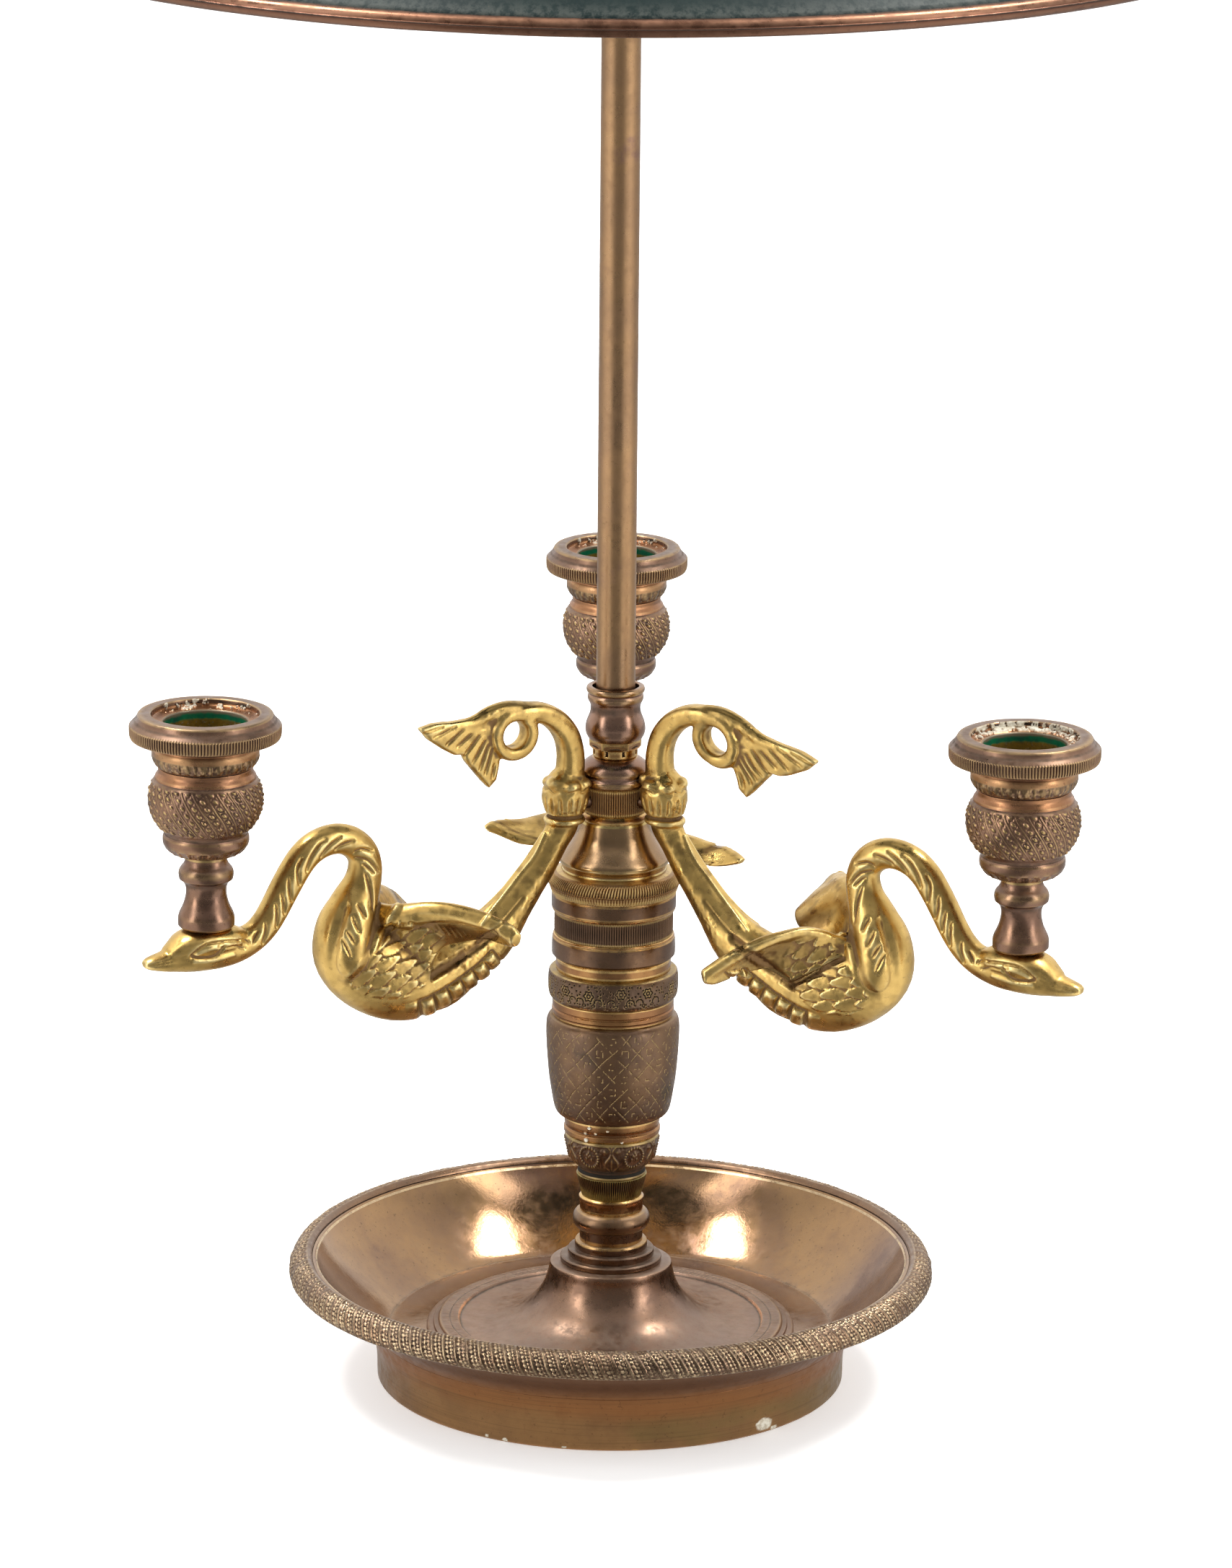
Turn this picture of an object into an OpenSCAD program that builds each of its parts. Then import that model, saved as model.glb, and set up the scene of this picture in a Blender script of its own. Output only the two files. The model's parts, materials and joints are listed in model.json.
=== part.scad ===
// Bouillotte lamp: a dished candle base with a turned stem, three cast swan
// arms that carry candle cups, and a painted metal shade that slides on a
// central rod. Millimetres, +Z up, origin at the centre of the underside.

/* [Base] */
// Outer radius of the foot ring that stands on the table
foot_r = 63.8; // [60:0.1:65]
// Height of the dish floor above the table
floor_z = 13.1; // [12.6:0.1:13.6]
// Radius of the inner lip of the drip dish
lip_r = 80.9; // [80:0.1:81.5]

/* [Stem and rod] */
// Outer radius of the brass rod that the shade slides on
rod_r = 5.25; // [4.8:0.05:5.28]
// Height of the top of the rod tube
rod_top = 543.6; // [540:0.1:600]

/* [Arms] */
// Distance of each candle cup from the lamp's axis
cup_r = 123.5; // [118:0.5:130]
// Height of the pad on a swan's head that its candle stem stands on
pad_z = 144.8; // [143:0.1:148]
// How much lower the right-hand arm hangs at its cup
right_sag = 4.2; // [0:0.1:6]
// Compass directions of the left, right and back arms
arm_az = [210, 330, 90]; // [0:1:360]

/* [Candle cups] */
// Radius of the candle bore
bore_r = 11; // [10:0.05:11.2]
// Radius of the loose drip ring that lies on each cup
ring_r = 20; // [19:0.1:22]

/* [Shade] */
// Radius of the shade at its lower rim
shade_r = 170; // [150:1:190]
// Radius of the shade at its upper rim
shade_top_r = 68; // [60:1:90]
// Height of the lower rim's centre above the table
shade_z = 403.7; // [300:0.1:420]
// Height of the shade from rim to rim
shade_h = 115; // [100:1:125]
// Thickness of the painted sheet
sheet = 0.6; // [0.5:0.1:1.2]

/* [Hidden] */
$fn = 128;

bolt = 3;          // tie rod radius
hole = 3.3;        // clearance hole for the tie rod
sags = [0, right_sag, 0];
bronze = [0.42, 0.29, 0.19];
brown = [0.36, 0.26, 0.20];
gold = [0.68, 0.52, 0.20];
green = [0.07, 0.19, 0.18];

// Half-round of points from angle a0 to a1 on an ellipse
function oval(cx, cz, rx, rz, a0, a1, n) =
  [for (i = [0:n]) let (a = a0 + (a1 - a0) * i / n)
    [cx + rx * cos(a), cz + rz * sin(a)]];

// A solid of revolution about the lamp's axis
module turned(p) rotate_extrude() polygon(p);

// Puts a piece at the cup of arm i
module at_cup(i)
  rotate([0, 0, arm_az[i]]) translate([cup_r, 0, -sags[i]]) children();

// ---------- base ----------
module foot_ring() color(bronze)
  turned([[foot_r - 1.6, 0], [foot_r, 0], [foot_r, 6], [foot_r + 0.8, 11],
    [foot_r + 1.9, 15.2], [foot_r - 1.6, 14]]);

module dish_pan() color(bronze)
  turned([[hole, floor_z], [59.5, floor_z], [61.3, 13.8], [64, 15.8], [68, 19.2],
    [72, 23], [76, 27.3], [79, 31], [lip_r, 33.8], [81.6, 33.8], [81.6, 33.3],
    [79.2, 30], [76.5, 26.2], [72.5, 21.7], [68.5, 18.1], [foot_r + 1.9, 15.2],
    [foot_r - 1.6, 14], [60.4, 11.8], [hole, 11.8]]);

module rim_band() color(brown)
  turned([[81.6, 33.3], [81.6, 34.1], [82.3, 35], [83.6, 35.5], [85.4, 35],
    [87, 33.5], [88, 31.5], [88.2, 29.8], [87.8, 28.6], [86, 28], [83.5, 28.5],
    [79.6, 30.55]]);

module dome_foot() color(brown)
  turned([[hole, floor_z], [50.3, floor_z], [50.3, 13.8], [49.8, 14.2],
    [48.5, 14.3], [48.4, 15], [47.2, 15.3], [46.9, 15.8], [46.5, 16],
    [41.6, 16], [41.2, 15.2], [36, 15.1], [32, 15.5], [27, 16.9],
    [23, 19.4], [20, 22.6], [18, 26.1], [17, 29.6], [16.7, 31.8], [16.4, 32.4],
    [15.6, 32.6], [hole, 32.6]]);

module stepped_collar() color(brown)
  turned([[hole, 32.6], [13.5, 32.6], [13.8, 32.9], [13.8, 33.9], [13.4, 34.2],
    [11.5, 34.2], [11.75, 34.5], [11.75, 36], [11.4, 36.3], [9.7, 36.3],
    [9.9, 36.6], [9.9, 38.2], [9.5, 38.6], [hole, 38.6]]);

module torus_ring() color(brown)
  turned(concat([[hole, 38.6], [8.6, 38.6], [8.6, 41.8]],
    oval(8.3, 44.6, 2.25, 2.7, -78, 78, 12), [[8.6, 47.3], [hole, 47.3]]));

module lower_knurled_ring() color(brown)
  turned([[hole, 47.3], [8.6, 47.3], [8.6, 50], [8.85, 50.4], [8.85, 51],
    [8.2, 51.6], [8.4, 52.5], [9.6, 57.8], [hole, 57.8]]);

module lower_bulb() color(bronze)
  turned([[hole, 57.8], [9.6, 57.8], [9.3, 58.5], [9, 59.4], [9.4, 60.4],
    [10.2, 61], [11.3, 61.9], [12.1, 63.4], [12.5, 65], [12.8, 66.8],
    [12.95, 68.8], [12.6, 69.5], [13.1, 70], [13.1, 71.2], [12.7, 71.8],
    [13, 72.4], [13, 74.9], [hole, 74.9]]);

module vase_body() color(brown)
  turned([[hole, 74.9], [14.2, 74.9], [15.1, 75.5], [15.7, 76.6], [16.1, 78.3],
    [16.5, 80.6], [16.9, 83.1], [17.3, 85.8], [17.6, 89.1], [17.85, 92.6],
    [18, 95.1], [18.1, 97.6], [18.1, 100.1], [17.95, 101.8], [17.5, 102.7],
    [16.5, 103], [hole, 103]]);

module neck_rings() color(bronze)
  turned([[hole, 103], [16.2, 103], [16.2, 103.8], [16.6, 104.2],
    [16.6, 105.2], [16.2, 105.5], [16.5, 105.8], [16.5, 107.8], [hole, 107.8]]);

module floral_band() color(brown)
  turned([[hole, 107.8], [16.6, 107.8], [17.2, 108.6], [17.6, 110],
    [17.6, 114.4], [17.4, 115.4], [16.8, 116], [hole, 116]]);

module lower_collar() color(bronze)
  turned([[hole, 116], [15.6, 116], [15.6, 119.4], [16.2, 119.8],
    [16.7, 120.4], [16.7, 124.8], [16.4, 125.5], [16.05, 126],
    [hole, 126]]);

module knurled_band() color(brown)
  turned([[hole, 126], [16.05, 126], [16.05, 132.5], [hole, 132.5]]);

module upper_collar() color(brown)
  turned([[hole, 132.5], [16.05, 132.5], [16.8, 133.5], [16.8, 137.2],
    [16.7, 137.6], [hole, 137.6]]);

module rope_ring() color(brown)
  turned([[hole, 137.6], [16.9, 137.6], [17.5, 139.2], [17.8, 139.8],
    [17.6, 141], [17, 142.2], [16, 143.3], [14.6, 144], [hole, 144]]);

module bell_cap() color(bronze)
  turned([[hole, 144], [14.3, 144], [13.9, 144.6], [14.1, 145.4],
    [14.8, 146.1], [14.9, 146.8], [14.5, 147.8], [13.2, 149.5], [11.8, 151.4],
    [10.6, 153.6], [9.8, 155.9], [9.3, 158.1], [hole, 158.1]]);

// ---------- hub ----------
// Drum that the three arms are pinned to, with a radial bore for each pin
module arm_hub() color(gold)
  difference() {
    turned([[hole, 158.1], [9.3, 158.1], [9.3, 159.2], [8.7, 159.8],
      [8.4, 160.2], [8.4, 167.2], [8.9, 168.1], [hole, 168.1]]);
    for (a = arm_az)
      rotate([0, 0, a]) translate([0, 0, 163.6]) rotate([0, 90, 0])
        cylinder(r = 1.95, h = 12, $fn = 48);
  }

module arm_pins() color(gold)
  for (a = arm_az)
    rotate([0, 0, a]) translate([4.2, 0, 163.6]) rotate([0, 90, 0])
      cylinder(r = 1.9, h = 11, $fn = 48);

module hub_cap() color(brown)
  turned([[hole, 168.1], [9.55, 168.1], [9.6, 168.8], [9.6, 169.6], [9, 170.2],
    [9.3, 171], [9.2, 172.2], [8.6, 173.4], [7.5, 174.5], [6, 175.2],
    [5.2, 175.4], [hole, 175.4]]);

module lock_nut() color(bronze)
  difference() {
    turned([[hole, 175.4], [6.1, 175.4], [6.1, 177.8], [hole, 177.8]]);
    for (k = [0:7]) rotate([0, 0, k * 45 + 22.5])
      translate([5.2, -0.7, 176.5]) cube([3, 1.4, 2]);
  }

module rod_socket() color(brown)
  turned([[hole, 177.8], [6.9, 177.8], [7, 178.6], [6.6, 179.2], [7.3, 180],
    [8, 181.6], [8.15, 183.2], [7.9, 184.8], [7.3, 186.3], [6.75, 187.8],
    [6.65, 189.1], [6.95, 190.2], [7.4, 190.9], [7.6, 191.7], [7.45, 192.5],
    [7.2, 192.8], [7.75, 193.3], [7.9, 193.9], [7.75, 194.6], [7.2, 194.9],
    [6.2, 194.9], [6.2, 188.1], [rod_r + 0.05, 188.1], [rod_r + 0.05, 181.6],
    [hole, 181.6]]);

// ---------- rod and what holds the stem together ----------
module tie_rod() color("silver") translate([0, 0, 3.6]) cylinder(r = bolt, h = 188);

module rod_plug() color("silver")
  turned([[bolt + 0.05, 181.6], [4.2, 181.6], [4.2, 192.6], [bolt + 0.05, 192.6]]);

module bottom_washer() color("silver")
  turned([[hole, 10.2], [12, 10.2], [12, 11.8], [hole, 11.8]]);

module bottom_nut() color("silver")
  difference() {
    translate([0, 0, 5.2]) cylinder(r = 6.35, h = 5, $fn = 6);
    translate([0, 0, 4.6]) cylinder(r = bolt + 0.05, h = 6);
  }

module rod_tube() color([0.55, 0.40, 0.22])
  turned([[4.25, 181.6], [rod_r, 181.6], [rod_r, rod_top], [4.25, rod_top]]);

module finial_collar() color(gold)
  turned([[0, rod_top - 8], [4.2, rod_top - 8], [4.2, rod_top],
    [7, rod_top], [7.6, rod_top + 1], [7.6, rod_top + 3],
    [6.5, rod_top + 4.5], [5, rod_top + 6], [0, rod_top + 6]]);

module finial() color(gold)
  translate([0, 0, rod_top - 543.6])
    turned([[0, 549.6], [4.2, 549.6], [3.4, 551.6], [5.5, 554.6], [7.6, 557.6],
      [8.5, 560.6], [8.3, 563.6], [7, 567.1], [4.8, 570.1], [3.2, 572.1],
      [4.4, 573.6], [4.6, 575.1], [3, 576.6], [2.3, 579.6], [2.6, 583.6],
      [2, 587.1], [0.9, 589.4], [0, 590]]);

// ---------- candle stems, cups and drip rings ----------
module candle_stem(i) color(brown)
  at_cup(i) translate([0, 0, pad_z])
    turned([[2.3, 0], [6.9, 0], [7.5, 0.6], [7.5, 3], [7, 4.2], [6, 6.2],
      [5.4, 8.6], [5.3, 10.2], [5.6, 11.8], [6.4, 12.8], [7.2, 13.4],
      [7.25, 15.2], [6.8, 16.3], [5.9, 17.2], [5.5, 18.4], [5.5, 19.6],
      [2.3, 19.6]]);

module candle_cup(i) color(brown)
  at_cup(i) translate([0, 0, pad_z + 19.6])
    turned([[2.3, 0], [5.8, 0], [9, 0.6], [10.9, 2.6], [11.35, 3.6],
      [11.35, 5.4], [10.9, 6], [11.2, 6.8], [13, 8.6], [14.5, 11.2],
      [15.2, 14.2], [15.1, 16.8], [14.5, 19.2], [13.6, 20.8], [13, 21.8],
      [12.5, 22.6], [12.4, 23.4], [12.9, 24.2], [12.3, 24.2], [12.3, 29.8],
      [bore_r, 29.8], [bore_r, 8.8], [2.3, 8.8]]);

module drip_ring(i) color(brown)
  at_cup(i) translate([0, 0, pad_z + 19.6])
    turned([[12.35, 24.35], [12.7, 24.35], [13.2, 24.8], [14.1, 26.4],
      [14.1, 28.8], [13.5, 29.9], [14.2, 30.4], [ring_r - 1.4, 31.4],
      [ring_r - 0.4, 31.8], [ring_r, 32.6], [ring_r, 35.2],
      [ring_r - 0.6, 35.8], [ring_r - 1.5, 36.7], [ring_r - 2, 37.7],
      [ring_r - 2.3, 38.2], [ring_r - 2.7, 38.4], [14.4, 38.4],
      [14.2, 38.2], [14, 36.7], [13.2, 36.4], [bore_r + 0.2, 36.2],
      [bore_r, 35.9], [bore_r, 29.95], [12.35, 29.95]]);

// Threaded studs that hold each cup and stem down on its swan's head
module cup_studs() color("silver")
  for (i = [0:2]) at_cup(i) translate([0, 0, 139.1])
    cylinder(r = 2.25, h = pad_z + 19.6 + 8.6 - 139.1, $fn = 48);

// ---------- swan arms ----------
// Smooth interpolation between hand-chosen stations
function cr(a, b, c, d, t) = 0.5 * ((2 * b) + (c - a) * t
  + (2 * a - 5 * b + 4 * c - d) * t * t + (3 * b - a - 3 * c + d) * t * t * t);
function smooth(P, n) = concat([for (i = [0:len(P) - 2]) for (j = [0:n - 1])
  cr(P[max(i - 1, 0)], P[i], P[i + 1], P[min(i + 2, len(P) - 1)], j / n)],
  [P[len(P) - 1]]);

// The oval section of station k: r, z, half thickness in the arm's plane and
// half width across it
function section(P, k, n, s) = let (a = P[max(k - 1, 0)],
    b = P[min(k + 1, len(P) - 1)], L = norm([b[0] - a[0], b[1] - a[1]]),
    t = [(b[0] - a[0]) / L, (b[1] - a[1]) / L])
  [for (i = [0:n - 1]) let (f = 360 * i / n, u = P[k][2] * cos(f),
      x = P[k][0] - t[1] * u, z = P[k][1] + t[0] * u)
    [x, P[k][3] * sin(f), z - s * (x - 15) / (cup_r - 15)]];

module slab(A, B) let (n = len(A))
  hull() polyhedron(concat(A, B), concat([[for (i = [0:n - 1]) i]],
    [[for (i = [0:n - 1]) 2 * n - 1 - i]],
    [for (i = [0:n - 1]) let (j = (i + 1) % n) [i, n + i, n + j, j]]));

module chain(P, n, s) for (k = [0:len(P) - 2])
  slab(section(P, k, n, s), section(P, k + 1, n, s));

// From the leaf collar down the tail, through the body and up the neck to
// the tip of the bill
SWAN = [[14, 172.6, 3.3, 3.5], [14.5, 170.8, 5.4, 5.4], [15, 167.6, 6.2, 6.2],
  [15.3, 164.1, 6.3, 6.3], [15.5, 161.2, 5.5, 5.4], [15.7, 159.8, 4.4, 4.5],
  [16.3, 157.6, 4.5, 4.3], [18.9, 153.6, 4.2, 4], [22.9, 147.6, 4.6, 4],
  [27, 142.6, 5, 4.2], [31.5, 137.2, 5.7, 4.8], [38, 130.2, 7.4, 6.2],
  [46, 125.8, 8.8, 8.2], [55, 122.8, 11.1, 10], [65, 123, 12.5, 11],
  [73.5, 126.4, 12.6, 10.6], [79.8, 132, 11.6, 9.6], [81.3, 138.6, 9.2, 7.8],
  [79.4, 145.2, 6.8, 6], [77, 150.2, 5.3, 5], [76.2, 154.8, 4.6, 4.5],
  [77.2, 158.6, 4.3, 4.3], [79.9, 161.6, 4.2, 4.2], [83.5, 163.2, 4.1, 4.1],
  [87.5, 163.3, 4.1, 4.1], [91.6, 162, 4.1, 4.1], [95, 159.4, 4.1, 4.1],
  [98, 155.5, 4.1, 4.1], [100.8, 151.1, 4.1, 4.1], [103.3, 146.9, 4, 4.1],
  [106, 143.1, 3.9, 4.1], [109.3, 140.1, 4, 4.2], [113.5, 138.6, 4.6, 4.8],
  [118, 138.4, 5.3, 5.5], [123, 138.5, 5.6, 5.8], [128, 138.1, 5.1, 5.2],
  [132.5, 137.4, 3.8, 3.8], [136.5, 136.9, 2.6, 3.3], [140, 136.5, 1.6, 2.8],
  [142, 136.4, 1, 1.8]];

// From the collar up the stalk and over, then round the eyelet
CURL = concat([[14.4, 169.6, 3.6, 3.8], [13.9, 173.6, 3.5, 3.6],
  [13.9, 178.1, 3.2, 3.3], [15.2, 183, 3, 3.2], [18.3, 187.2, 2.8, 3.1],
  [22.6, 190, 2.6, 3.1], [27.5, 191, 2.4, 3.1]],
  [for (k = [0:10]) let (a = 90 - k * 29) [32 + 5.3 * cos(a),
    185.5 + 5.3 * sin(a), 1.7, 3.1]]);

// Each station of a wing: its leading point, trailing point and thickness
WING_L = [[[76, 3, 140.6], [56, 3, 121.6], 3],
  [[73.3, 6.5, 145.1], [62, 10, 125.6], 2.6],
  [[65.8, 17, 146.8], [57.2, 9.5, 132.7], 2.2],
  [[61.4, 22, 146.5], [51.8, 10.5, 133.6], 2],
  [[53.6, 30.5, 144], [46.6, 20, 135], 1.6],
  [[48.6, 34.2, 140.9], [49.1, 33, 137.3], 1.2]];
WING_R = [[[76, 3, 138.6], [56, 3, 119.6], 3],
  [[72.7, 5.5, 139.6], [70.5, 10.5, 131.4], 2.6],
  [[66.8, 15, 143], [62.2, 12, 125.9], 2],
  [[61.2, 23, 141.2], [55.8, 16, 130.8], 1.6],
  [[52.9, 30.3, 136.1], [50.2, 25, 129.7], 1.3],
  [[47, 33.4, 131.2], [47.1, 32.6, 128.7], 1.1]];

function rib(W, k, n, s) = let (a = W[max(k - 1, 0)], b = W[min(k + 1, 5)],
    m = (W[k][0] + W[k][1]) / 2, u = (W[k][0] - W[k][1]) / 2,
    c = cross(u, (b[0] + b[1] - a[0] - a[1]) / 2), v = c / norm(c) * W[k][2])
  [for (i = [0:n - 1]) let (p = m + u * cos(360 * i / n) + v * sin(360 * i / n))
    [p[0], p[1], p[2] - s * (p[0] - 15) / (cup_r - 15)]];

module wing(W, s) for (k = [0:4]) slab(rib(W, k, 10, s), rib(W, k + 1, 10, s));

// Forked tail fan at the outer side of the eyelet
module fan(tip) rotate([90, 0, 0]) translate([0, 0, -1.8])
  linear_extrude(3.6) {
    polygon([[36.5, 191], [41, 192.4], [45.5, 190.6], [50, 190.6 - tip * 0.3],
      [56, 191 - tip * 0.75], [60.4, 190 - tip], [57, 187.2 - tip * 0.8],
      [52, 184.5 - tip * 0.45], [47, 182.5], [42, 182.6], [36.5, 185.6]]);
    polygon([[36.5, 187.1], [47, 182.5], [44, 178.2], [41, 174.3],
      [38.6, 172.2], [36.7, 174], [36, 178.1], [36, 181.6]]);
  }

module swan_arm(i, tip) color(gold)
  rotate([0, 0, arm_az[i]]) difference() {
    union() {
      chain(smooth(SWAN, 1), 16, sags[i]);
      chain(smooth(CURL, 1), 12, sags[i]);
      wing(WING_L, sags[i]);
      mirror([0, 1, 0]) wing(WING_R, sags[i]);
      translate([0, 0, -sags[i] * 0.2]) fan(tip);
      translate([cup_r, 0, pad_z - 6 - sags[i]])
        cylinder(r1 = 4.5, r2 = 6.6, h = 6, $fn = 32);
    }
    // saddle where the leaf collar fits round the hub
    rotate_extrude($fn = 96) polygon([[0, 147.6], [9.35, 147.6], [9.35, 159.2],
      [8.45, 160.1], [8.45, 167.3], [9.65, 168.1], [9.65, 175.6], [0, 175.6]]);
    // socket for the hub pin, and the hole for the cup's stud
    translate([8, 0, 163.6]) rotate([0, 90, 0])
      cylinder(r = 1.95, h = 7.4, $fn = 24);
    translate([cup_r, 0, 139 - sags[i]]) cylinder(r = 2.3, h = 8, $fn = 24);
  }

// ---------- shade ----------
top_z = shade_z + shade_h;
// Horizontal thickness of the sloping sheet
flat_t = sheet * norm([shade_r - shade_top_r, shade_h]) / shade_h;

// Radius of the sheet's middle at height h above its lower edge
function cone_r(h) = shade_r - (shade_r - shade_top_r) * h / shade_h;

// The sloping sheet between heights a and b above its lower edge
module sheet_cone(a, b) turned([
  [cone_r(a) - flat_t / 2, shade_z + a], [cone_r(a) + flat_t / 2, shade_z + a],
  [cone_r(b) + flat_t / 2, shade_z + b], [cone_r(b) - flat_t / 2, shade_z + b]]);

module shade_skin() color(green) sheet_cone(0, shade_h);

// Where a line that leaves the bead's middle level at offset s, along the
// sheet's slope, meets a bead of radius q
function on_bead(s, q) = let (L = norm([shade_r - shade_top_r, shade_h]),
    dx = -(shade_r - shade_top_r) / L, dz = shade_h / L,
    t = -s * dx + sqrt(s * s * dx * dx - s * s + q * q)) [s + t * dx, t * dz];

// A round bead of radius q with a groove for the sheet; side is 1 where the
// sheet leaves it upwards and -1 where it leaves downwards
module bead(r, z, q, side) let (
    a = on_bead(flat_t / 2, q), b = on_bead(-flat_t / 2, q),
    a0 = atan2(a[1], a[0]), a1 = atan2(b[1], b[0]) - 360)
  turned(concat([for (i = [0:30]) let (f = a0 + (a1 - a0) * i / 30)
      [r + side * q * cos(f), z + side * q * sin(f)]],
    [[r - side * flat_t / 2, z], [r + side * flat_t / 2, z]]));

// Rolled rims: each is a bead with a groove that the sheet's edge sits in
module shade_rim_lower() color(bronze) bead(shade_r, shade_z, 2.35, 1);

module shade_rim_upper() color(bronze) bead(shade_top_r, top_z, 1.7, -1);

// Ring, bars and hub that carry the shade on the sleeve's neck
module spider_ring() color(gold)
  turned([
    [cone_r(shade_h - 9) - flat_t / 2 - 1.6, top_z - 9],
    [cone_r(shade_h - 9) - flat_t / 2, top_z - 9],
    [cone_r(shade_h - 2.5) - flat_t / 2, top_z - 2.5],
    [cone_r(shade_h - 2.5) - flat_t / 2 - 1.6, top_z - 2.5]]);

module spider_arms() color(gold)
  difference() {
    for (a = [30, 150, 270]) rotate([0, 0, a])
      translate([10.5, -2.25, top_z - 4.9]) cube([70, 4.5, 2]);
    difference() {
      translate([0, 0, top_z - 6]) cylinder(r = 90, h = 5);
      turned([[11, top_z - 9], [cone_r(shade_h - 9) - flat_t / 2 - 1.6, top_z - 9],
        [cone_r(shade_h - 2.5) - flat_t / 2 - 1.6, top_z - 2.5],
        [11, top_z - 2.5]]);
    }
  }

module spider_hub() color(gold)
  turned([[7.55, 511.8], [10.4, 511.8], [11, 512.6], [11, 517.6],
    [10.2, 518.8], [7.55, 518.8]]);

module clamp_sleeve() color(gold)
  difference() {
    union() {
      turned([[3, 491.6], [7.8, 491.6], [8.6, 492.6], [8.6, 494], [8, 494.6],
        [8, 508.8], [8.9, 509.6], [9.6, 510.4], [9.6, 511.5], [7.5, 511.5],
        [7.5, 521], [3, 521]]);
      translate([0, -4, 501.6]) rotate([90, 0, 0]) cylinder(r = 4.2, h = 11);
    }
    translate([0, 0, 487.6]) cylinder(r = rod_r + 0.05, h = 40);
    translate([0, -2, 501.6]) rotate([90, 0, 0]) cylinder(r = 2, h = 20, $fn = 48);
  }

// Key-shaped screw that locks the sleeve on the rod
module thumb_screw() color(gold)
  translate([0, 0, 501.6]) rotate([90, 0, 0]) {
    translate([0, 0, 5.5]) cylinder(r = 1.95, h = 14, $fn = 48);
    translate([0, 0, 15.3]) cylinder(r = 3.4, h = 2.2, $fn = 48);
    translate([0, 0, 17.5]) cylinder(r = 2.4, h = 5, $fn = 48);
    translate([0, 1.2, 20]) rotate([90, 0, 0]) linear_extrude(2.4) {
      translate([-4.4, 6]) circle(r = 5, $fn = 64);
      translate([4.4, 6]) circle(r = 5, $fn = 64);
      translate([-2.4, 0]) square([4.8, 8]);
    }
  }

foot_ring();
dish_pan();
rim_band();
dome_foot();
stepped_collar();
torus_ring();
lower_knurled_ring();
lower_bulb();
vase_body();
neck_rings();
floral_band();
lower_collar();
knurled_band();
upper_collar();
rope_ring();
bell_cap();
arm_hub();
hub_cap();
lock_nut();
rod_socket();
tie_rod();
rod_plug();
bottom_washer();
bottom_nut();
rod_tube();
swan_arm(0, 0);  // swan_arm_left
swan_arm(1, 8);  // swan_arm_right
swan_arm(2, 4);  // swan_arm_back
arm_pins();
cup_studs();
candle_stem(0);  // candle_stem_left
candle_stem(1);  // candle_stem_right
candle_stem(2);  // candle_stem_back
candle_cup(0);  // candle_cup_left
candle_cup(1);  // candle_cup_right
candle_cup(2);  // candle_cup_back
drip_ring(0);  // drip_ring_left
drip_ring(1);  // drip_ring_right
drip_ring(2);  // drip_ring_back
shade_skin();
shade_rim_lower();
shade_rim_upper();
spider_ring();
spider_arms();
spider_hub();
clamp_sleeve();
thumb_screw();
finial_collar();
finial();
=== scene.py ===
import json
import math

import bpy
import numpy as np
from mathutils import Matrix, Vector

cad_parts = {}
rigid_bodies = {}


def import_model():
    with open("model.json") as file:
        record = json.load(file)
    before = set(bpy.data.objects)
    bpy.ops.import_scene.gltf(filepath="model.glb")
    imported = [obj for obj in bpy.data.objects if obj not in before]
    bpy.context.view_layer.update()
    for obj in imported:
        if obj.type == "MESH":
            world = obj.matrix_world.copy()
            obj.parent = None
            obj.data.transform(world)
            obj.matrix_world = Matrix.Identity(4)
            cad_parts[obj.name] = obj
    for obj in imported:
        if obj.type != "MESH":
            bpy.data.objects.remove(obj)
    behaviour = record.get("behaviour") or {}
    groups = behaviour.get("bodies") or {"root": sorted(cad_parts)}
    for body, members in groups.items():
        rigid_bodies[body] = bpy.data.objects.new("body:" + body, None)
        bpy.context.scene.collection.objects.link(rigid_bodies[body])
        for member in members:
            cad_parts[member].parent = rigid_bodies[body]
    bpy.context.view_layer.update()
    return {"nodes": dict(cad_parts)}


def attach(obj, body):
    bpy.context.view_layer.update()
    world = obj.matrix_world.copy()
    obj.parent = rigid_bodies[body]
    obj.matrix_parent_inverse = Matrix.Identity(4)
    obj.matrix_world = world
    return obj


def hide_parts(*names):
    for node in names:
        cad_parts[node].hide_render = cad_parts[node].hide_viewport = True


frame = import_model()
MM = 0.001
TAU = 2 * math.pi
# heights of pieces are counted from a level 2.4 mm below the table
TABLE = 2.4

for o in list(bpy.data.objects):
    if o.type in ("LIGHT", "CAMERA"):
        bpy.data.objects.remove(o)


# ---------------------------------------------------------------- numbers
def ss(a, b, x):
    t = np.clip((x - a) / (b - a), 0, 1)
    return t * t * (3 - 2 * t)


def win(a, b, x, e):
    """1 between a and b, falling to 0 over e inside each end."""
    return ss(a, a + e, x) * (1 - ss(b - e, b, x))


def frac(x):
    return x - np.floor(x)


def near(x):
    """Signed distance to the nearest whole number."""
    return x - np.round(x)


def dome(d, w):
    """Half-round bump of half width w, 1 at d = 0."""
    return np.sqrt(np.clip(1 - (d / w) ** 2, 0, 1))


def soft(d, w):
    """Cosine bump of half width w, 1 at d = 0."""
    return np.where(np.abs(d) < w, 0.5 + 0.5 * np.cos(np.pi * d / w), 0.0)


def hash3(i, j, k, seed):
    h = (i * 374761393 + j * 668265263 + k * 2147483647 + seed * 144665) & 0xFFFFFFFF
    h = ((h ^ (h >> 13)) * 1274126177) & 0xFFFFFFFF
    h = ((h ^ (h >> 16)) * 2246822519) & 0xFFFFFFFF
    return ((h ^ (h >> 15)) & 0xFFFFFF) / float(0xFFFFFF)


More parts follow.
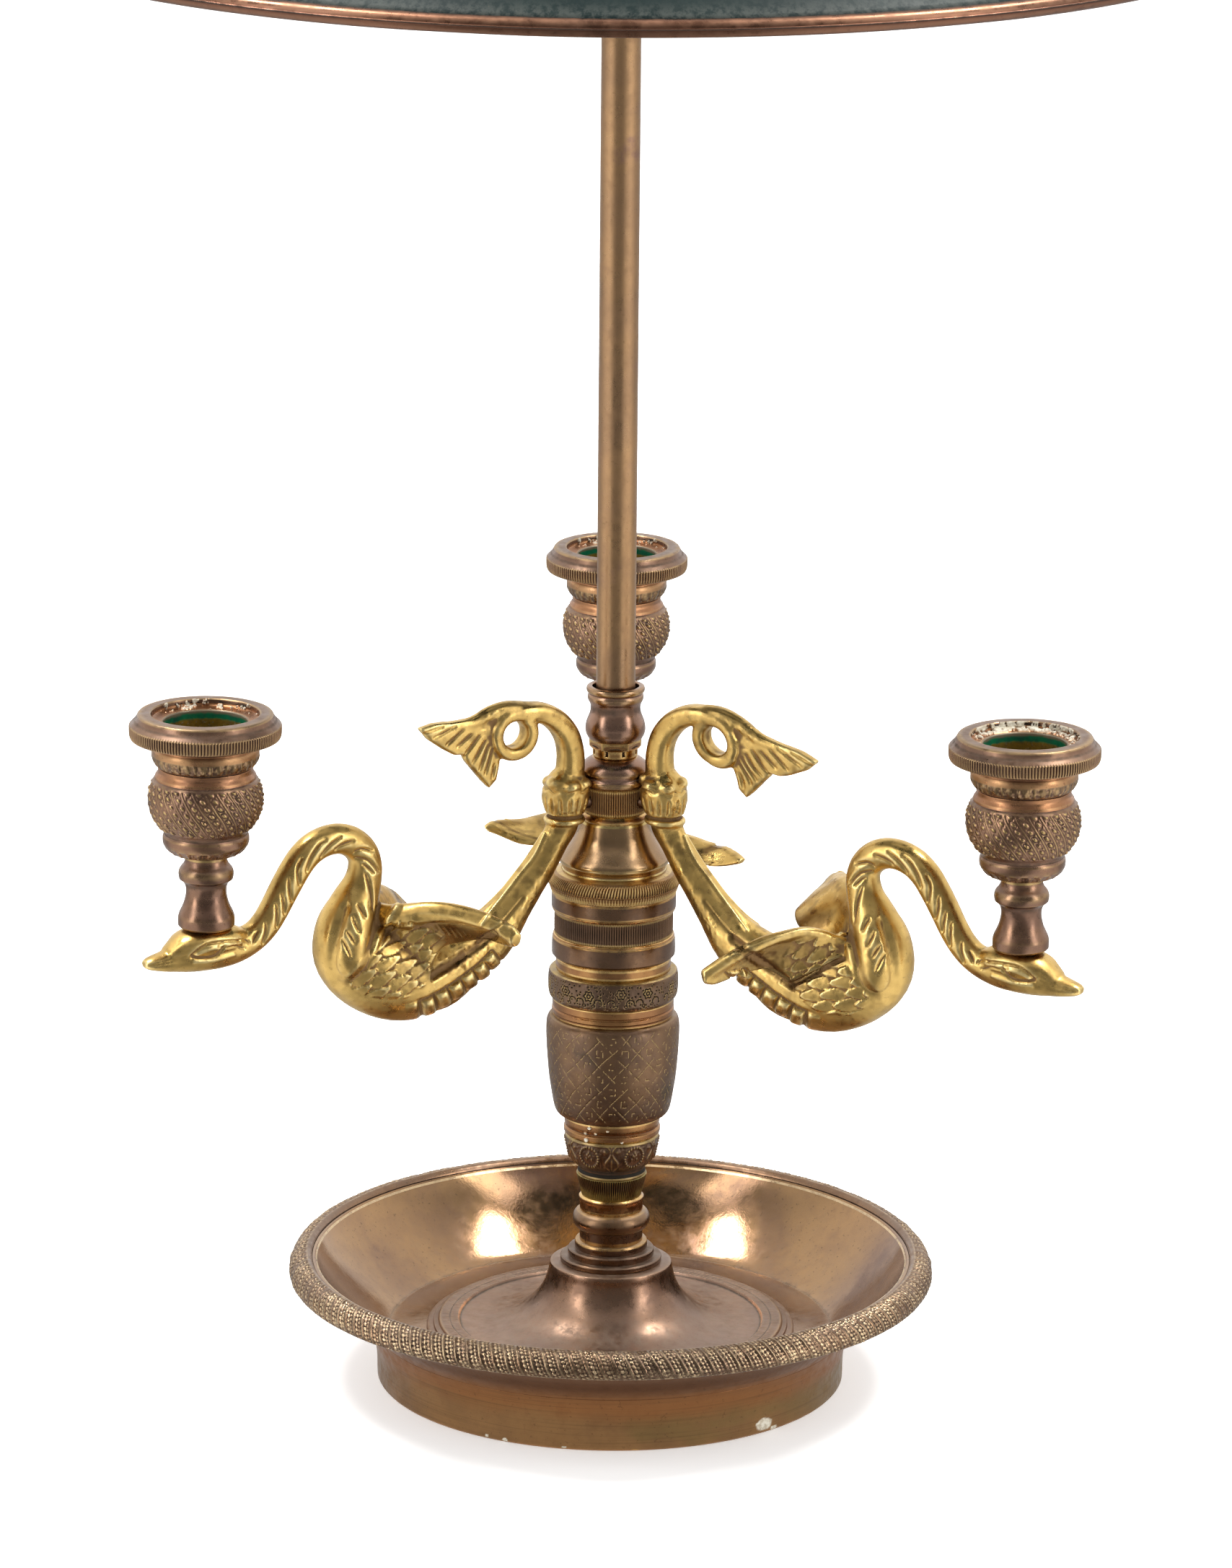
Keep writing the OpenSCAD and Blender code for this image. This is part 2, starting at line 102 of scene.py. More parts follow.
def vnoise(x, y, z, seed=0):
    """Smooth value noise from -1 to 1 with cells of size 1."""
    x, y, z = np.broadcast_arrays(x, y, z)
    ix, iy, iz = (np.floor(v).astype(np.int64) for v in (x, y, z))
    fx, fy, fz = x - ix, y - iy, z - iz
    fx, fy, fz = (v * v * (3 - 2 * v) for v in (fx, fy, fz))
    out = 0
    for a in (0, 1):
        for b in (0, 1):
            for c in (0, 1):
                w = (
                    (fx if a else 1 - fx)
                    * (fy if b else 1 - fy)
                    * (fz if c else 1 - fz)
                )
                out = out + w * hash3(ix + a, iy + b, iz + c, seed)
    return out * 2 - 1


# ---------------------------------------------------------------- meshes
def mesh_object(name, co, quads=None, tris=None):
    """co in millimetres."""
    me = bpy.data.meshes.new(name)
    co = np.asarray(co, np.float64) * MM
    faces = []
    if quads is not None and len(quads):
        faces.append((np.asarray(quads, np.int32), 4))
    if tris is not None and len(tris):
        faces.append((np.asarray(tris, np.int32), 3))
    me.vertices.add(len(co))
    me.vertices.foreach_set("co", co.astype(np.float32).ravel())
    loops = np.concatenate([f.ravel() for f, _ in faces])
    starts, at = [], 0
    for f, k in faces:
        starts.append(at + np.arange(len(f)) * k)
        at += len(f) * k
    starts = np.concatenate(starts).astype(np.int32)
    me.loops.add(len(loops))
    me.loops.foreach_set("vertex_index", loops)
    me.polygons.add(len(starts))
    me.polygons.foreach_set("loop_start", starts)
    me.update(calc_edges=True)
    me.polygons.foreach_set("use_smooth", np.ones(len(starts), bool))
    me.update()
    ob = bpy.data.objects.new(name, me)
    bpy.context.scene.collection.objects.link(ob)
    return ob


def get_co(ob):
    n = len(ob.data.vertices)
    co = np.zeros(n * 3, np.float32)
    ob.data.vertices.foreach_get("co", co)
    return co.reshape(-1, 3).astype(np.float64) / MM


def set_co(ob, co):
    ob.data.vertices.foreach_set("co", (np.asarray(co) * MM).astype(np.float32).ravel())
    ob.data.update()


def get_normals(ob):
    n = len(ob.data.vertices)
    no = np.zeros(n * 3, np.float32)
    ob.data.vertex_normals.foreach_get("vector", no)
    return no.reshape(-1, 3).astype(np.float64)


def edges_of(ob):
    e = np.zeros(len(ob.data.edges) * 2, np.int32)
    ob.data.edges.foreach_get("vertices", e)
    return e.reshape(-1, 2)


def relax(co, e, n, k=1.0):
    m = len(co)
    deg = np.bincount(e.ravel(), minlength=m).astype(float)
    deg[deg == 0] = 1
    for _ in range(n):
        out = np.empty_like(co)
        for a in range(3):
            c = co[:, a]
            s = np.bincount(e[:, 0], c[e[:, 1]], m) + np.bincount(e[:, 1], c[e[:, 0]], m)
            out[:, a] = s / deg
        co = co + k * (out - co)
    return co


def put_attr(ob, name, values):
    a = ob.data.attributes.get(name) or ob.data.attributes.new(name, "FLOAT", "POINT")
    a.data.foreach_set("value", np.asarray(values, np.float32))


def hollows(ob, size=0.5, wide=1.6):
    """Marks each vertex with how far it lies below (+) or above (-) the
    surface around it, in mm: cav over a small patch, cavw over a wide one."""
    co, e, no = get_co(ob), edges_of(ob), get_normals(ob)
    step = np.median(np.linalg.norm(co[e[:, 0]] - co[e[:, 1]], axis=1))
    n1 = int(np.clip((size / (0.75 * step)) ** 2, 2, 30))
    n2 = int(np.clip((wide / (0.75 * step)) ** 2, n1 + 4, 90))
    a = relax(co, e, n1)
    b = relax(a, e, n2 - n1)
    put_attr(ob, "cav", ((a - co) * no).sum(1))
    put_attr(ob, "cavw", ((b - co) * no).sum(1))


def rounded(points, rad=0.25, soft_deg=38):
    """Turns a profile's wide bends into curves and its corners into fillets."""
    P = np.array([p[:2] for p in points], float)
    out = [P[0]]
    for i in range(1, len(P) - 1):
        a, b, c = P[i - 1], P[i], P[i + 1]
        u, v = a - b, c - b
        lu, lv = np.linalg.norm(u), np.linalg.norm(v)
        cosa = np.clip(np.dot(u, v) / (lu * lv), -1, 1)
        turn = math.pi - math.acos(cosa)
        if turn < math.radians(soft_deg):
            tu, tv, n = lu * 0.5, lv * 0.5, 6
        else:
            t = min(rad * math.tan(turn / 2), 0.45 * lu, 0.45 * lv)
            tu, tv, n = t, t, 5
        p0, p1 = b + u / lu * tu, b + v / lv * tv
        for k in range(n + 1):
            s = k / n
            out.append((1 - s) ** 2 * p0 + 2 * s * (1 - s) * b + s * s * p1)
    out.append(P[-1])
    out = np.array(out)
    keep = np.r_[True, np.linalg.norm(np.diff(out, axis=0), axis=1) > 1e-4]
    return out[keep]


def resample(P, ds, max_turn=14):
    d = np.diff(P, axis=0)
    L = np.linalg.norm(d, axis=1)
    ang = np.arctan2(d[:, 1], d[:, 0])
    t = np.abs(np.diff(ang))
    t = np.minimum(t, TAU - t)
    turn = np.zeros(len(L))
    turn[:-1] += t / 2
    turn[1:] += t / 2
    if callable(ds):
        s_mid = np.r_[0, np.cumsum(L)][:-1] + L / 2
        step = np.array([ds(s) for s in s_mid])
    else:
        step = ds
    w = np.maximum(L / step, np.degrees(turn) / max_turn)
    cum = np.r_[0, np.cumsum(w)]
    n = max(2, int(math.ceil(cum[-1])))
    at = np.linspace(0, cum[-1], n + 1)
    s = np.r_[0, np.cumsum(L)]
    return (
        np.c_[np.interp(at, cum, P[:, 0]), np.interp(at, cum, P[:, 1])],
        np.interp(at, cum, s),
    )


def turned(name, prof, nseg=256, ds=0.5, disp=None, core=3.3, rad=0.25,
           centre=(0, 0), dz=0, closed=False, max_turn=14, soft_deg=38, marks=None):
    """A turned piece. prof runs bottom to top with the outside on its right;
    core is the radius of the hidden hole that closes the section, and closed
    says that prof is already a full loop. marks gives vertex attributes, each
    by a function like disp."""
    pts = list(prof)
    P = rounded(pts, rad, soft_deg)
    R, s = resample(P, ds, max_turn)
    t = np.gradient(R, axis=0)
    t /= np.linalg.norm(t, axis=1)[:, None] + 1e-12
    nr, nz = t[:, 1], -t[:, 0]
    th = np.arange(nseg) * TAU / nseg
    r, z = R[:, :1], R[:, 1:2]
    if disp is not None:
        d = disp(s[:, None], r, z, th[None, :])
    else:
        d = 0.0
    d = np.broadcast_to(d, (len(R), nseg))
    rr = r + d * nr[:, None]
    zz = z + d * nz[:, None]
    if not closed:
        # close the section along the hidden hole
        rr = np.vstack([np.full((1, nseg), core), rr, np.full((1, nseg), core)])
        zz = np.vstack([np.full((1, nseg), R[0, 1]), zz, np.full((1, nseg), R[-1, 1])])
    m = len(rr)
    x = centre[0] + rr * np.cos(th)[None, :]
    y = centre[1] + rr * np.sin(th)[None, :]
    co = np.stack([x, y, zz + dz - TABLE], -1).reshape(-1, 3)
    j = np.arange(m)[:, None]
    i = np.arange(nseg)[None, :]
    j2, i2 = (j + 1) % m, (i + 1) % nseg
    q = np.stack([j * nseg + i, j * nseg + i2, j2 * nseg + i2, j2 * nseg + i], -1)
    ob = mesh_object(name, co, q.reshape(-1, 4))
    for key, fn in (marks or {}).items():
        v = np.broadcast_to(fn(s[:, None], R[:, :1], R[:, 1:2], th[None, :]), (len(R), nseg))
        if not closed:
            v = np.vstack([np.zeros((1, nseg)), v, np.zeros((1, nseg))])
        put_attr(ob, key, v.ravel())
    return ob


# ---------------------------------------------------------------- materials
class Nodes:
    """Small helper that wires a node material."""

    def __init__(self, name):
        self.m = bpy.data.materials.new(name)
        self.m.use_nodes = True
        self.t = self.m.node_tree
        self.t.nodes.clear()
        self.out = self.t.nodes.new("ShaderNodeOutputMaterial")
        self.bsdf = self.t.nodes.new("ShaderNodeBsdfPrincipled")
        self.link(self.bsdf.outputs[0], self.out.inputs["Surface"])
        self.coord = self.t.nodes.new("ShaderNodeTexCoord").outputs["Object"]

    def link(self, a, b):
        self.t.links.new(a, b)

    def put(self, sock, v):
        if isinstance(v, bpy.types.NodeSocket):
            self.link(v, sock)
        elif isinstance(v, (tuple, list)) and len(v) == 3 and len(sock.default_value) == 4:
            sock.default_value = (*v, 1)
        else:
            sock.default_value = v

    def scaled(self, x, y, z):
        n = self.t.nodes.new("ShaderNodeMapping")
        self.link(self.coord, n.inputs["Vector"])
        n.inputs["Scale"].default_value = (x, y, z)
        return n.outputs[0]

    def noise(self, scale, detail=3, rough=0.55, vec=None, distort=0.0, colour=False):
        n = self.t.nodes.new("ShaderNodeTexNoise")
        self.link(vec or self.coord, n.inputs["Vector"])
        n.inputs["Scale"].default_value = scale
        n.inputs["Detail"].default_value = detail
        n.inputs["Roughness"].default_value = rough
        n.inputs["Distortion"].default_value = distort
        return n.outputs["Color" if colour else "Fac"]

    def voronoi(self, scale, vec=None, feature="F1", rnd=1.0):
        n = self.t.nodes.new("ShaderNodeTexVoronoi")
        n.feature = feature
        self.link(vec or self.coord, n.inputs["Vector"])
        n.inputs["Scale"].default_value = scale
        n.inputs["Randomness"].default_value = rnd
        return n.outputs["Distance"]

    def attr(self, name):
        n = self.t.nodes.new("ShaderNodeAttribute")
        n.attribute_name = name
        return n.outputs["Fac"]

    def step(self, v, a, b, lo=0.0, hi=1.0, smooth=True):
        n = self.t.nodes.new("ShaderNodeMapRange")
        n.interpolation_type = "SMOOTHSTEP" if smooth else "LINEAR"
        self.put(n.inputs["Value"], v)
        n.inputs["From Min"].default_value = a
        n.inputs["From Max"].default_value = b
        n.inputs["To Min"].default_value = lo
        n.inputs["To Max"].default_value = hi
        return n.outputs["Result"]

    def math(self, op, a, b=None, c=None, clamp=False):
        n = self.t.nodes.new("ShaderNodeMath")
        n.operation = op
        n.use_clamp = clamp
        for k, v in enumerate((a, b, c)):
            if v is not None:
                self.put(n.inputs[k], v)
        return n.outputs[0]

    def mix(self, f, a, b, mode="MIX"):
        n = self.t.nodes.new("ShaderNodeMix")
        n.data_type = "RGBA"
        n.blend_type = mode
        n.clamp_factor = True
        self.put(n.inputs[0], f)
        self.put(n.inputs[6], a)
        self.put(n.inputs[7], b)
        return n.outputs[2]

    def axis(self, k):
        n = self.t.nodes.new("ShaderNodeSeparateXYZ")
        self.link(self.coord, n.inputs[0])
        return n.outputs[k]

    def radius(self, cx=0.0, cy=0.0):
        """Distance from the vertical line through (cx, cy), in metres."""
        x = self.math("SUBTRACT", self.axis(0), cx)
        y = self.math("SUBTRACT", self.axis(1), cy)
        return self.math(
            "SQRT", self.math("ADD", self.math("MULTIPLY", x, x), self.math("MULTIPLY", y, y))
        )

    def bump(self, height, dist, strength=1.0, normal=None):
        n = self.t.nodes.new("ShaderNodeBump")
        n.inputs["Strength"].default_value = strength
        n.inputs["Distance"].default_value = dist
        self.put(n.inputs["Height"], height)
        if normal is not None:
            self.link(normal, n.inputs["Normal"])
        self.link(n.outputs[0], self.bsdf.inputs["Normal"])
        return n.outputs[0]

    def set(self, name, v):
        self.put(self.bsdf.inputs[name], v)


def metal(name, base, alt, dirt_and_shade, wear, patina=None, rough=0.3, alt_scale=45.0,
          alt_lo=0.4, alt_hi=0.62, cav_lo=0.02, cav_hi=0.14, wear_lo=0.03,
          wear_hi=0.12, speck=0.25, speck_scale=900.0, turned_marks=0.0,
          patina_lo=0.55, patina_hi=0.7, patina_scale=70.0, grain=0.0,
          rough_var=0.18, dust=None, dust_amount=0.0, cavw_amt=0.5, extra=None):
    """Old bronze or brass: two tones of metal, dirt and painted shade in the
    hollows, bright edges, patches of patina, fine specks and scratches."""
    n = Nodes(name)
    cav, cavw = n.attr("cav"), n.attr("cavw")
    big = n.noise(alt_scale, 4, 0.6)
    fine = n.noise(speck_scale, 2, 0.7)
    mid = n.noise(260.0, 4, 0.65)
    col = n.mix(n.step(big, alt_lo, alt_hi), base, alt)
    col = n.mix(n.step(mid, 0.42, 0.75, 0, 0.45), col, alt)
    pat = None
    if patina is not None:
        pn = n.noise(patina_scale, 6, 0.68)
        pat = n.step(pn, patina_lo, patina_hi)
        col = n.mix(pat, col, patina)
    if extra is not None:
        col = extra(n, col)
    # bright, rubbed edges; on the bead, partly painted glints
    edge = n.step(n.math("MULTIPLY", cav, -1.0), wear_lo, wear_hi)
    edge = n.math("MULTIPLY", edge, n.step(mid, 0.3, 0.6, 0.35, 1.0))
    col = n.mix(edge, col, wear)
    # the tone attribute: positive takes the wear colour, negative the dark colour; on the swans and the dome these are
    # painted highlights and painted shade, on the bead rubbed gold and brown
    tone, wax = n.attr("tone"), n.attr("wax")
    col = n.mix(n.step(tone, 0.0, 1.0, smooth=False), col, wear)
    col = n.mix(n.step(tone, 0.0, -1.0, smooth=False), col, dirt_and_shade)
    # dirt and painted shade in the hollows (on the vase, gold in the engraved lines), broken up by noise
    both = n.math("ADD", cav, n.math("MULTIPLY", cavw, cavw_amt))
    jitter = n.math("MULTIPLY", n.math("SUBTRACT", mid, 0.5), (cav_hi - cav_lo) * 0.9)
    low = n.step(n.math("ADD", both, jitter), cav_lo, cav_hi)
    col = n.mix(low, col, dirt_and_shade)
    sp = n.step(fine, 0.62, 0.72, 0, speck)
    col = n.mix(sp, col, dirt_and_shade)
    metallic = n.math("SUBTRACT", 1.0, n.math("MULTIPLY", low, 0.75), clamp=True)
    r = n.step(mid, 0.3, 0.75, rough - rough_var * 0.35, rough + rough_var)
    if pat is not None:
        r = n.math("ADD", r, n.math("MULTIPLY", pat, 0.12))
    r = n.math("ADD", r, n.math("MULTIPLY", low, 0.3))
    if dust is not None:
        geo = n.t.nodes.new("ShaderNodeNewGeometry")
        sep = n.t.nodes.new("ShaderNodeSeparateXYZ")
        n.link(geo.outputs["Normal"], sep.inputs[0])
        up = n.step(sep.outputs[2], 0.35, 0.98)
        du = n.math("MULTIPLY", up, n.step(n.noise(420.0, 5, 0.7), 0.35, 0.7, 0.35, 1.0))
        du = n.math("MULTIPLY", du, dust_amount)
        col = n.mix(du, col, dust)
        metallic = n.math("SUBTRACT", metallic, n.math("MULTIPLY", du, 0.8), clamp=True)
        r = n.math("ADD", r, n.math("MULTIPLY", du, 0.35))
    cream = n.mix(n.step(fine, 0.35, 0.65), (0.80, 0.76, 0.64), (0.55, 0.48, 0.36))
    col = n.mix(wax, col, cream)
    metallic = n.math("SUBTRACT", metallic, wax, clamp=True)
    r = n.math("ADD", r, n.math("MULTIPLY", wax, 0.35))
    n.set("Base Color", col)
    n.set("Metallic", metallic)
    n.set("Specular IOR Level", 0.2)
    n.set("Roughness", n.math("MINIMUM", r, 0.95))
    h = n.math("MULTIPLY", mid, 0.5)
    h = n.math("ADD", h, n.math("MULTIPLY", fine, 0.35 + grain))
    if turned_marks > 0:
        tm = n.noise(1.0, 3, 0.8, n.scaled(8, 8, 2600))
        h = n.math("ADD", h, n.math("MULTIPLY", tm, turned_marks))
    n.bump(h, 0.00006, 0.55)
    return n.m


# ---------------------------------------------------------------- palette
M = {}


def foot_tones(n, col):
    """Red-brown towards the top, olive patches lower down, brushed round, and painted shade where it runs up under the
    rim.
    """
    z = n.axis(2)
    wide = n.noise(16.0, 4, 0.6)
    up = n.step(n.math("ADD", z, n.math("MULTIPLY", n.math("SUBTRACT", wide, 0.5), 0.012)), 0.006, 0.0125)
    col = n.mix(n.math("MULTIPLY", up, 0.75), col, (0.38, 0.155, 0.055))
    olive = n.step(n.noise(22.0, 4, 0.6, n.scaled(1, 1, 2.5)), 0.5, 0.62, 0, 0.55)
    col = n.mix(n.math("MULTIPLY", olive, n.math("SUBTRACT", 1.0, up, clamp=True)), col, (0.25, 0.165, 0.062))
    lines = n.noise(1.0, 4, 0.7, n.scaled(14, 14, 1500))
    col = n.mix(n.step(lines, 0.45, 0.75, 0, 0.45), col, (0.15, 0.085, 0.04))
    gold = n.step(n.noise(1.0, 3, 0.6, n.scaled(60, 60, 420)), 0.70, 0.74, 0, 0.8)
    col = n.mix(gold, col, (0.60, 0.36, 0.10))
    # painted shade: browner again where it runs up under the rim, and over the dish's underside
    return n.mix(n.step(z, 0.0125, 0.0195, 0, 0.75), col, (0.17, 0.085, 0.045))


M["foot"] = metal("foot_bronze", (0.36, 0.19, 0.078), (0.28, 0.15, 0.066), (0.045, 0.03, 0.02),
                  (0.62, 0.42, 0.17), rough=0.34, alt_scale=38, speck=0.3,
                  turned_marks=0.7, cavw_amt=0.0, extra=foot_tones)
M["dish"] = metal("dish_bronze", (0.39, 0.23, 0.112), (0.30, 0.175, 0.098), (0.06, 0.045, 0.03),
                  (0.66, 0.47, 0.22), patina=(0.20, 0.115, 0.08), rough=0.10, alt_scale=26,
                  patina_scale=24, patina_lo=0.53, patina_hi=0.72, speck=0.5, speck_scale=1100,
                  rough_var=0.05, cavw_amt=0.0, dust=(0.30, 0.24, 0.18), dust_amount=0.18)
# the bead's pale wear colour is partly rubbed metal, partly painted glints
M["bead"] = metal("bead_bronze", (0.27, 0.158, 0.092), (0.21, 0.128, 0.085), (0.022, 0.014, 0.008),
                  (0.80, 0.60, 0.36), rough=0.22, alt_scale=30, cav_lo=0.01, cav_hi=0.09,
                  wear_lo=0.04, wear_hi=0.14, speck=0.3, dust=(0.26, 0.20, 0.15), dust_amount=0.45)
M["dome"] = metal("dome_bronze", (0.30, 0.178, 0.115), (0.235, 0.143, 0.102), (0.05, 0.036, 0.026),
                  (0.55, 0.36, 0.17), rough=0.26, alt_scale=40, speck=0.35, rough_var=0.12,
                  turned_marks=0.25, dust=(0.27, 0.21, 0.16), dust_amount=0.55, cavw_amt=0.2)
M["turned"] = metal("turned_bronze", (0.205, 0.118, 0.068), (0.158, 0.096, 0.064), (0.035, 0.025, 0.016),
                    (0.52, 0.32, 0.13), patina=(0.15, 0.105, 0.075), rough=0.28, alt_scale=90, speck=0.3,
                    turned_marks=0.6, dust=(0.27, 0.21, 0.16), dust_amount=0.5)
M["copper"] = metal("copper_bronze", (0.38, 0.195, 0.075), (0.29, 0.14, 0.062), (0.04, 0.026, 0.016),
                    (0.72, 0.48, 0.19), rough=0.24, alt_scale=110, speck=0.25, turned_marks=0.8)
M["vase"] = metal("vase_bronze", (0.215, 0.128, 0.072), (0.175, 0.11, 0.074), (0.40, 0.28, 0.12),
                  (0.26, 0.17, 0.09), patina=(0.135, 0.10, 0.07), rough=0.38, alt_scale=70,
                  cav_lo=0.012, cav_hi=0.05, speck=0.25, turned_marks=0.3, cavw_amt=0.0)
# the three knurled finishes: their near-black hollow colour paints shade in the gaps between the flutes, with some dirt
M["knurl"] = metal("knurled_bronze", (0.195, 0.118, 0.07), (0.155, 0.097, 0.064), (0.012, 0.009, 0.006),
                   (0.42, 0.29, 0.13), rough=0.32, alt_scale=60, cav_lo=0.0, cav_hi=0.07,
                   wear_lo=0.05, wear_hi=0.16, speck=0.2, dust=(0.25, 0.19, 0.14), dust_amount=0.35)
M["knurl_olive"] = metal("knurled_olive", (0.15, 0.094, 0.052), (0.118, 0.075, 0.045), (0.008, 0.008, 0.004),
                         (0.34, 0.27, 0.1), rough=0.36, alt_scale=60, cav_lo=0.0, cav_hi=0.07,
                         wear_lo=0.05, wear_hi=0.15, speck=0.2)
M["knurl_gold"] = metal("knurled_gold", (0.37, 0.212, 0.09), (0.29, 0.165, 0.077), (0.016, 0.012, 0.006),
                        (0.68, 0.48, 0.2), rough=0.3, alt_scale=60, cav_lo=0.0, cav_hi=0.07,
                        wear_lo=0.05, wear_hi=0.15, speck=0.2)
M["carved"] = metal("carved_bronze", (0.19, 0.118, 0.072), (0.155, 0.099, 0.067), (0.022, 0.017, 0.011),
                    (0.46, 0.33, 0.14), rough=0.34, alt_scale=80, cav_lo=0.03, cav_hi=0.13, speck=0.3)
M["bell"] = metal("bell_bronze", (0.42, 0.265, 0.135), (0.33, 0.205, 0.11), (0.06, 0.04, 0.022),
                  (0.66, 0.50, 0.2), rough=0.2, alt_scale=60, speck=0.25, rough_var=0.1,
                  dust=(0.30, 0.22, 0.16), dust_amount=0.4)
M["socket"] = metal("socket_bronze", (0.35, 0.205, 0.14), (0.28, 0.168, 0.12), (0.04, 0.028, 0.018),
                    (0.5, 0.32, 0.15), patina=(0.36, 0.26, 0.11), patina_lo=0.6, rough=0.24,
                    alt_scale=90, speck=0.25, rough_var=0.1)
M["cast"] = metal("cast_brass", (0.72, 0.48, 0.155), (0.58, 0.38, 0.12), (0.18, 0.10, 0.037),
                  (0.95, 0.74, 0.33), patina=(0.42, 0.28, 0.10), patina_scale=60, rough=0.29,
                  alt_scale=55, cav_lo=0.05, cav_hi=0.26, wear_lo=0.05, wear_hi=0.2, speck=0.3,
                  speck_scale=700, grain=0.5)
M["rod"] = metal("rod_brass", (0.42, 0.25, 0.125), (0.34, 0.205, 0.112), (0.06, 0.04, 0.025),
                 (0.6, 0.42, 0.2), patina=(0.29, 0.17, 0.125), patina_scale=35, rough=0.32,
                 alt_scale=30, speck=0.2, turned_marks=0.5, cavw_amt=0.0)
M["cup"] = metal("cup_bronze", (0.268, 0.152, 0.094), (0.208, 0.12, 0.082), (0.028, 0.02, 0.013),
                 (0.48, 0.33, 0.14), rough=0.27, alt_scale=90, cav_lo=0.03, cav_hi=0.14, speck=0.3,
                 turned_marks=0.6, dust=(0.29, 0.23, 0.18), dust_amount=0.6, cavw_amt=0.15)
M["drip"] = metal("drip_bronze", (0.232, 0.133, 0.084), (0.188, 0.11, 0.076), (0.03, 0.02, 0.013),
                  (0.40, 0.26, 0.13), rough=0.27, alt_scale=90, cav_lo=0.02, cav_hi=0.1, wear_lo=0.06,
                  wear_hi=0.2, speck=0.3, dust=(0.27, 0.21, 0.16), dust_amount=0.5, cavw_amt=0.1)
M["cup_copper"] = metal("cup_copper", (0.43, 0.21, 0.10), (0.33, 0.165, 0.088), (0.03, 0.018, 0.012),
                        (0.44, 0.25, 0.12), rough=0.3, alt_scale=110, speck=0.3, turned_marks=0.7,
                        cav_lo=0.45, cav_hi=0.9)
M["steel"] = metal("plain_steel", (0.5, 0.5, 0.5), (0.38, 0.38, 0.38), (0.1, 0.1, 0.1), (0.7, 0.7, 0.7),
                   rough=0.35, alt_scale=60)
M["fitting"] = metal("fitting_brass", (0.46, 0.33, 0.12), (0.36, 0.25, 0.10), (0.05, 0.035, 0.02),
                     (0.72, 0.54, 0.22), patina=(0.25, 0.18, 0.09), rough=0.27, alt_scale=80, turned_marks=0.5)
M["rim"] = metal("rim_copper", (0.17, 0.078, 0.048), (0.14, 0.066, 0.043), (0.05, 0.03, 0.02),
                 (0.4, 0.23, 0.14), rough=0.3, alt_scale=40, speck=0.2, cavw_amt=0.0)


def paint_material():
    n = Nodes("shade_enamel")
    big = n.noise(24.0, 4, 0.6)
    fine = n.noise(520.0, 3, 0.7)
    stroke = n.noise(1.0, 3, 0.6, n.scaled(90, 90, 14), 0.6)
    col = n.mix(n.step(big, 0.35, 0.7), (0.0045, 0.014, 0.014), (0.008, 0.02, 0.0185))
    col = n.mix(n.step(stroke, 0.5, 0.75, 0, 0.5), col, (0.012, 0.025, 0.023))
    z = n.axis(2)
    dusty = n.math("MULTIPLY", n.step(z, 0.4048, 0.4105, 1.0, 0.0), n.step(fine, 0.35, 0.62))
    col = n.mix(n.math("MULTIPLY", dusty, 0.5), col, (0.12, 0.13, 0.115))
    chips = n.step(n.noise(180.0, 5, 0.75), 0.70, 0.73)
    col = n.mix(n.math("MULTIPLY", chips, 0.7), col, (0.09, 0.07, 0.045))
    n.set("Base Color", col)
    n.set("Metallic", 0.0)
    n.set("Roughness", n.step(big, 0.3, 0.7, 0.38, 0.52))
    n.set("Specular IOR Level", 0.25)
    n.set("Coat Weight", 0.06)
    n.set("Coat Roughness", 0.2)
    n.bump(n.math("ADD", n.math("MULTIPLY", stroke, 0.8), n.math("MULTIPLY", fine, 0.4)), 0.00012, 0.5)
    return n.m


M["paint"] = paint_material()


def bore_material(name, zt):
    """Inside of a candle bore: emerald verdigris at the mouth, gold below, with painted shade deeper down."""
    n = Nodes(name)
    z = n.axis(2)
    f = n.noise(240.0, 5, 0.7)
    g = n.noise(900.0, 3, 0.7)
    zz = n.math("ADD", z, n.math("MULTIPLY", n.math("SUBTRACT", f, 0.5), 0.0014))
    green = n.step(zz, zt - 0.0025, zt - 0.0017)
    top = n.step(zz, zt - 0.0009, zt - 0.0001)
    gold = n.mix(n.step(f, 0.4, 0.65), (0.50, 0.34, 0.06), (0.24, 0.15, 0.04))
    # painted shade: the gold darkens deeper down the bore
    gold = n.mix(n.step(z, zt - 0.02, zt - 0.006), (0.05, 0.035, 0.012), gold)
    gold = n.mix(n.step(g, 0.60, 0.68, 0, 0.7), gold, (0.55, 0.5, 0.38))
    col = n.mix(green, gold, n.mix(n.step(f, 0.35, 0.7), (0.0, 0.20, 0.085), (0.0, 0.09, 0.05)))
    col = n.mix(top, col, (0.22, 0.17, 0.11))
    n.set("Base Color", col)
    n.set("Metallic", n.step(green, 0.0, 1.0, 0.85, 0.25))
    n.set("Roughness", n.step(f, 0.3, 0.7, 0.28, 0.5))
    n.bump(n.math("ADD", f, g), 0.0001, 0.5)
    return n.m


# ---------------------------------------------------------------- finishing
def done(ob, mat, body, slot, *nodes, size=0.5, wide=1.6):
    hollows(ob, size, wide)
    ob.data.materials.clear()
    ob.data.materials.append(M[mat] if isinstance(mat, str) else mat)
    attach(ob, body)
    if nodes:
        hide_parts(*nodes)
    return ob


# ---------------------------------------------------------------- base
FOOT = 63.8


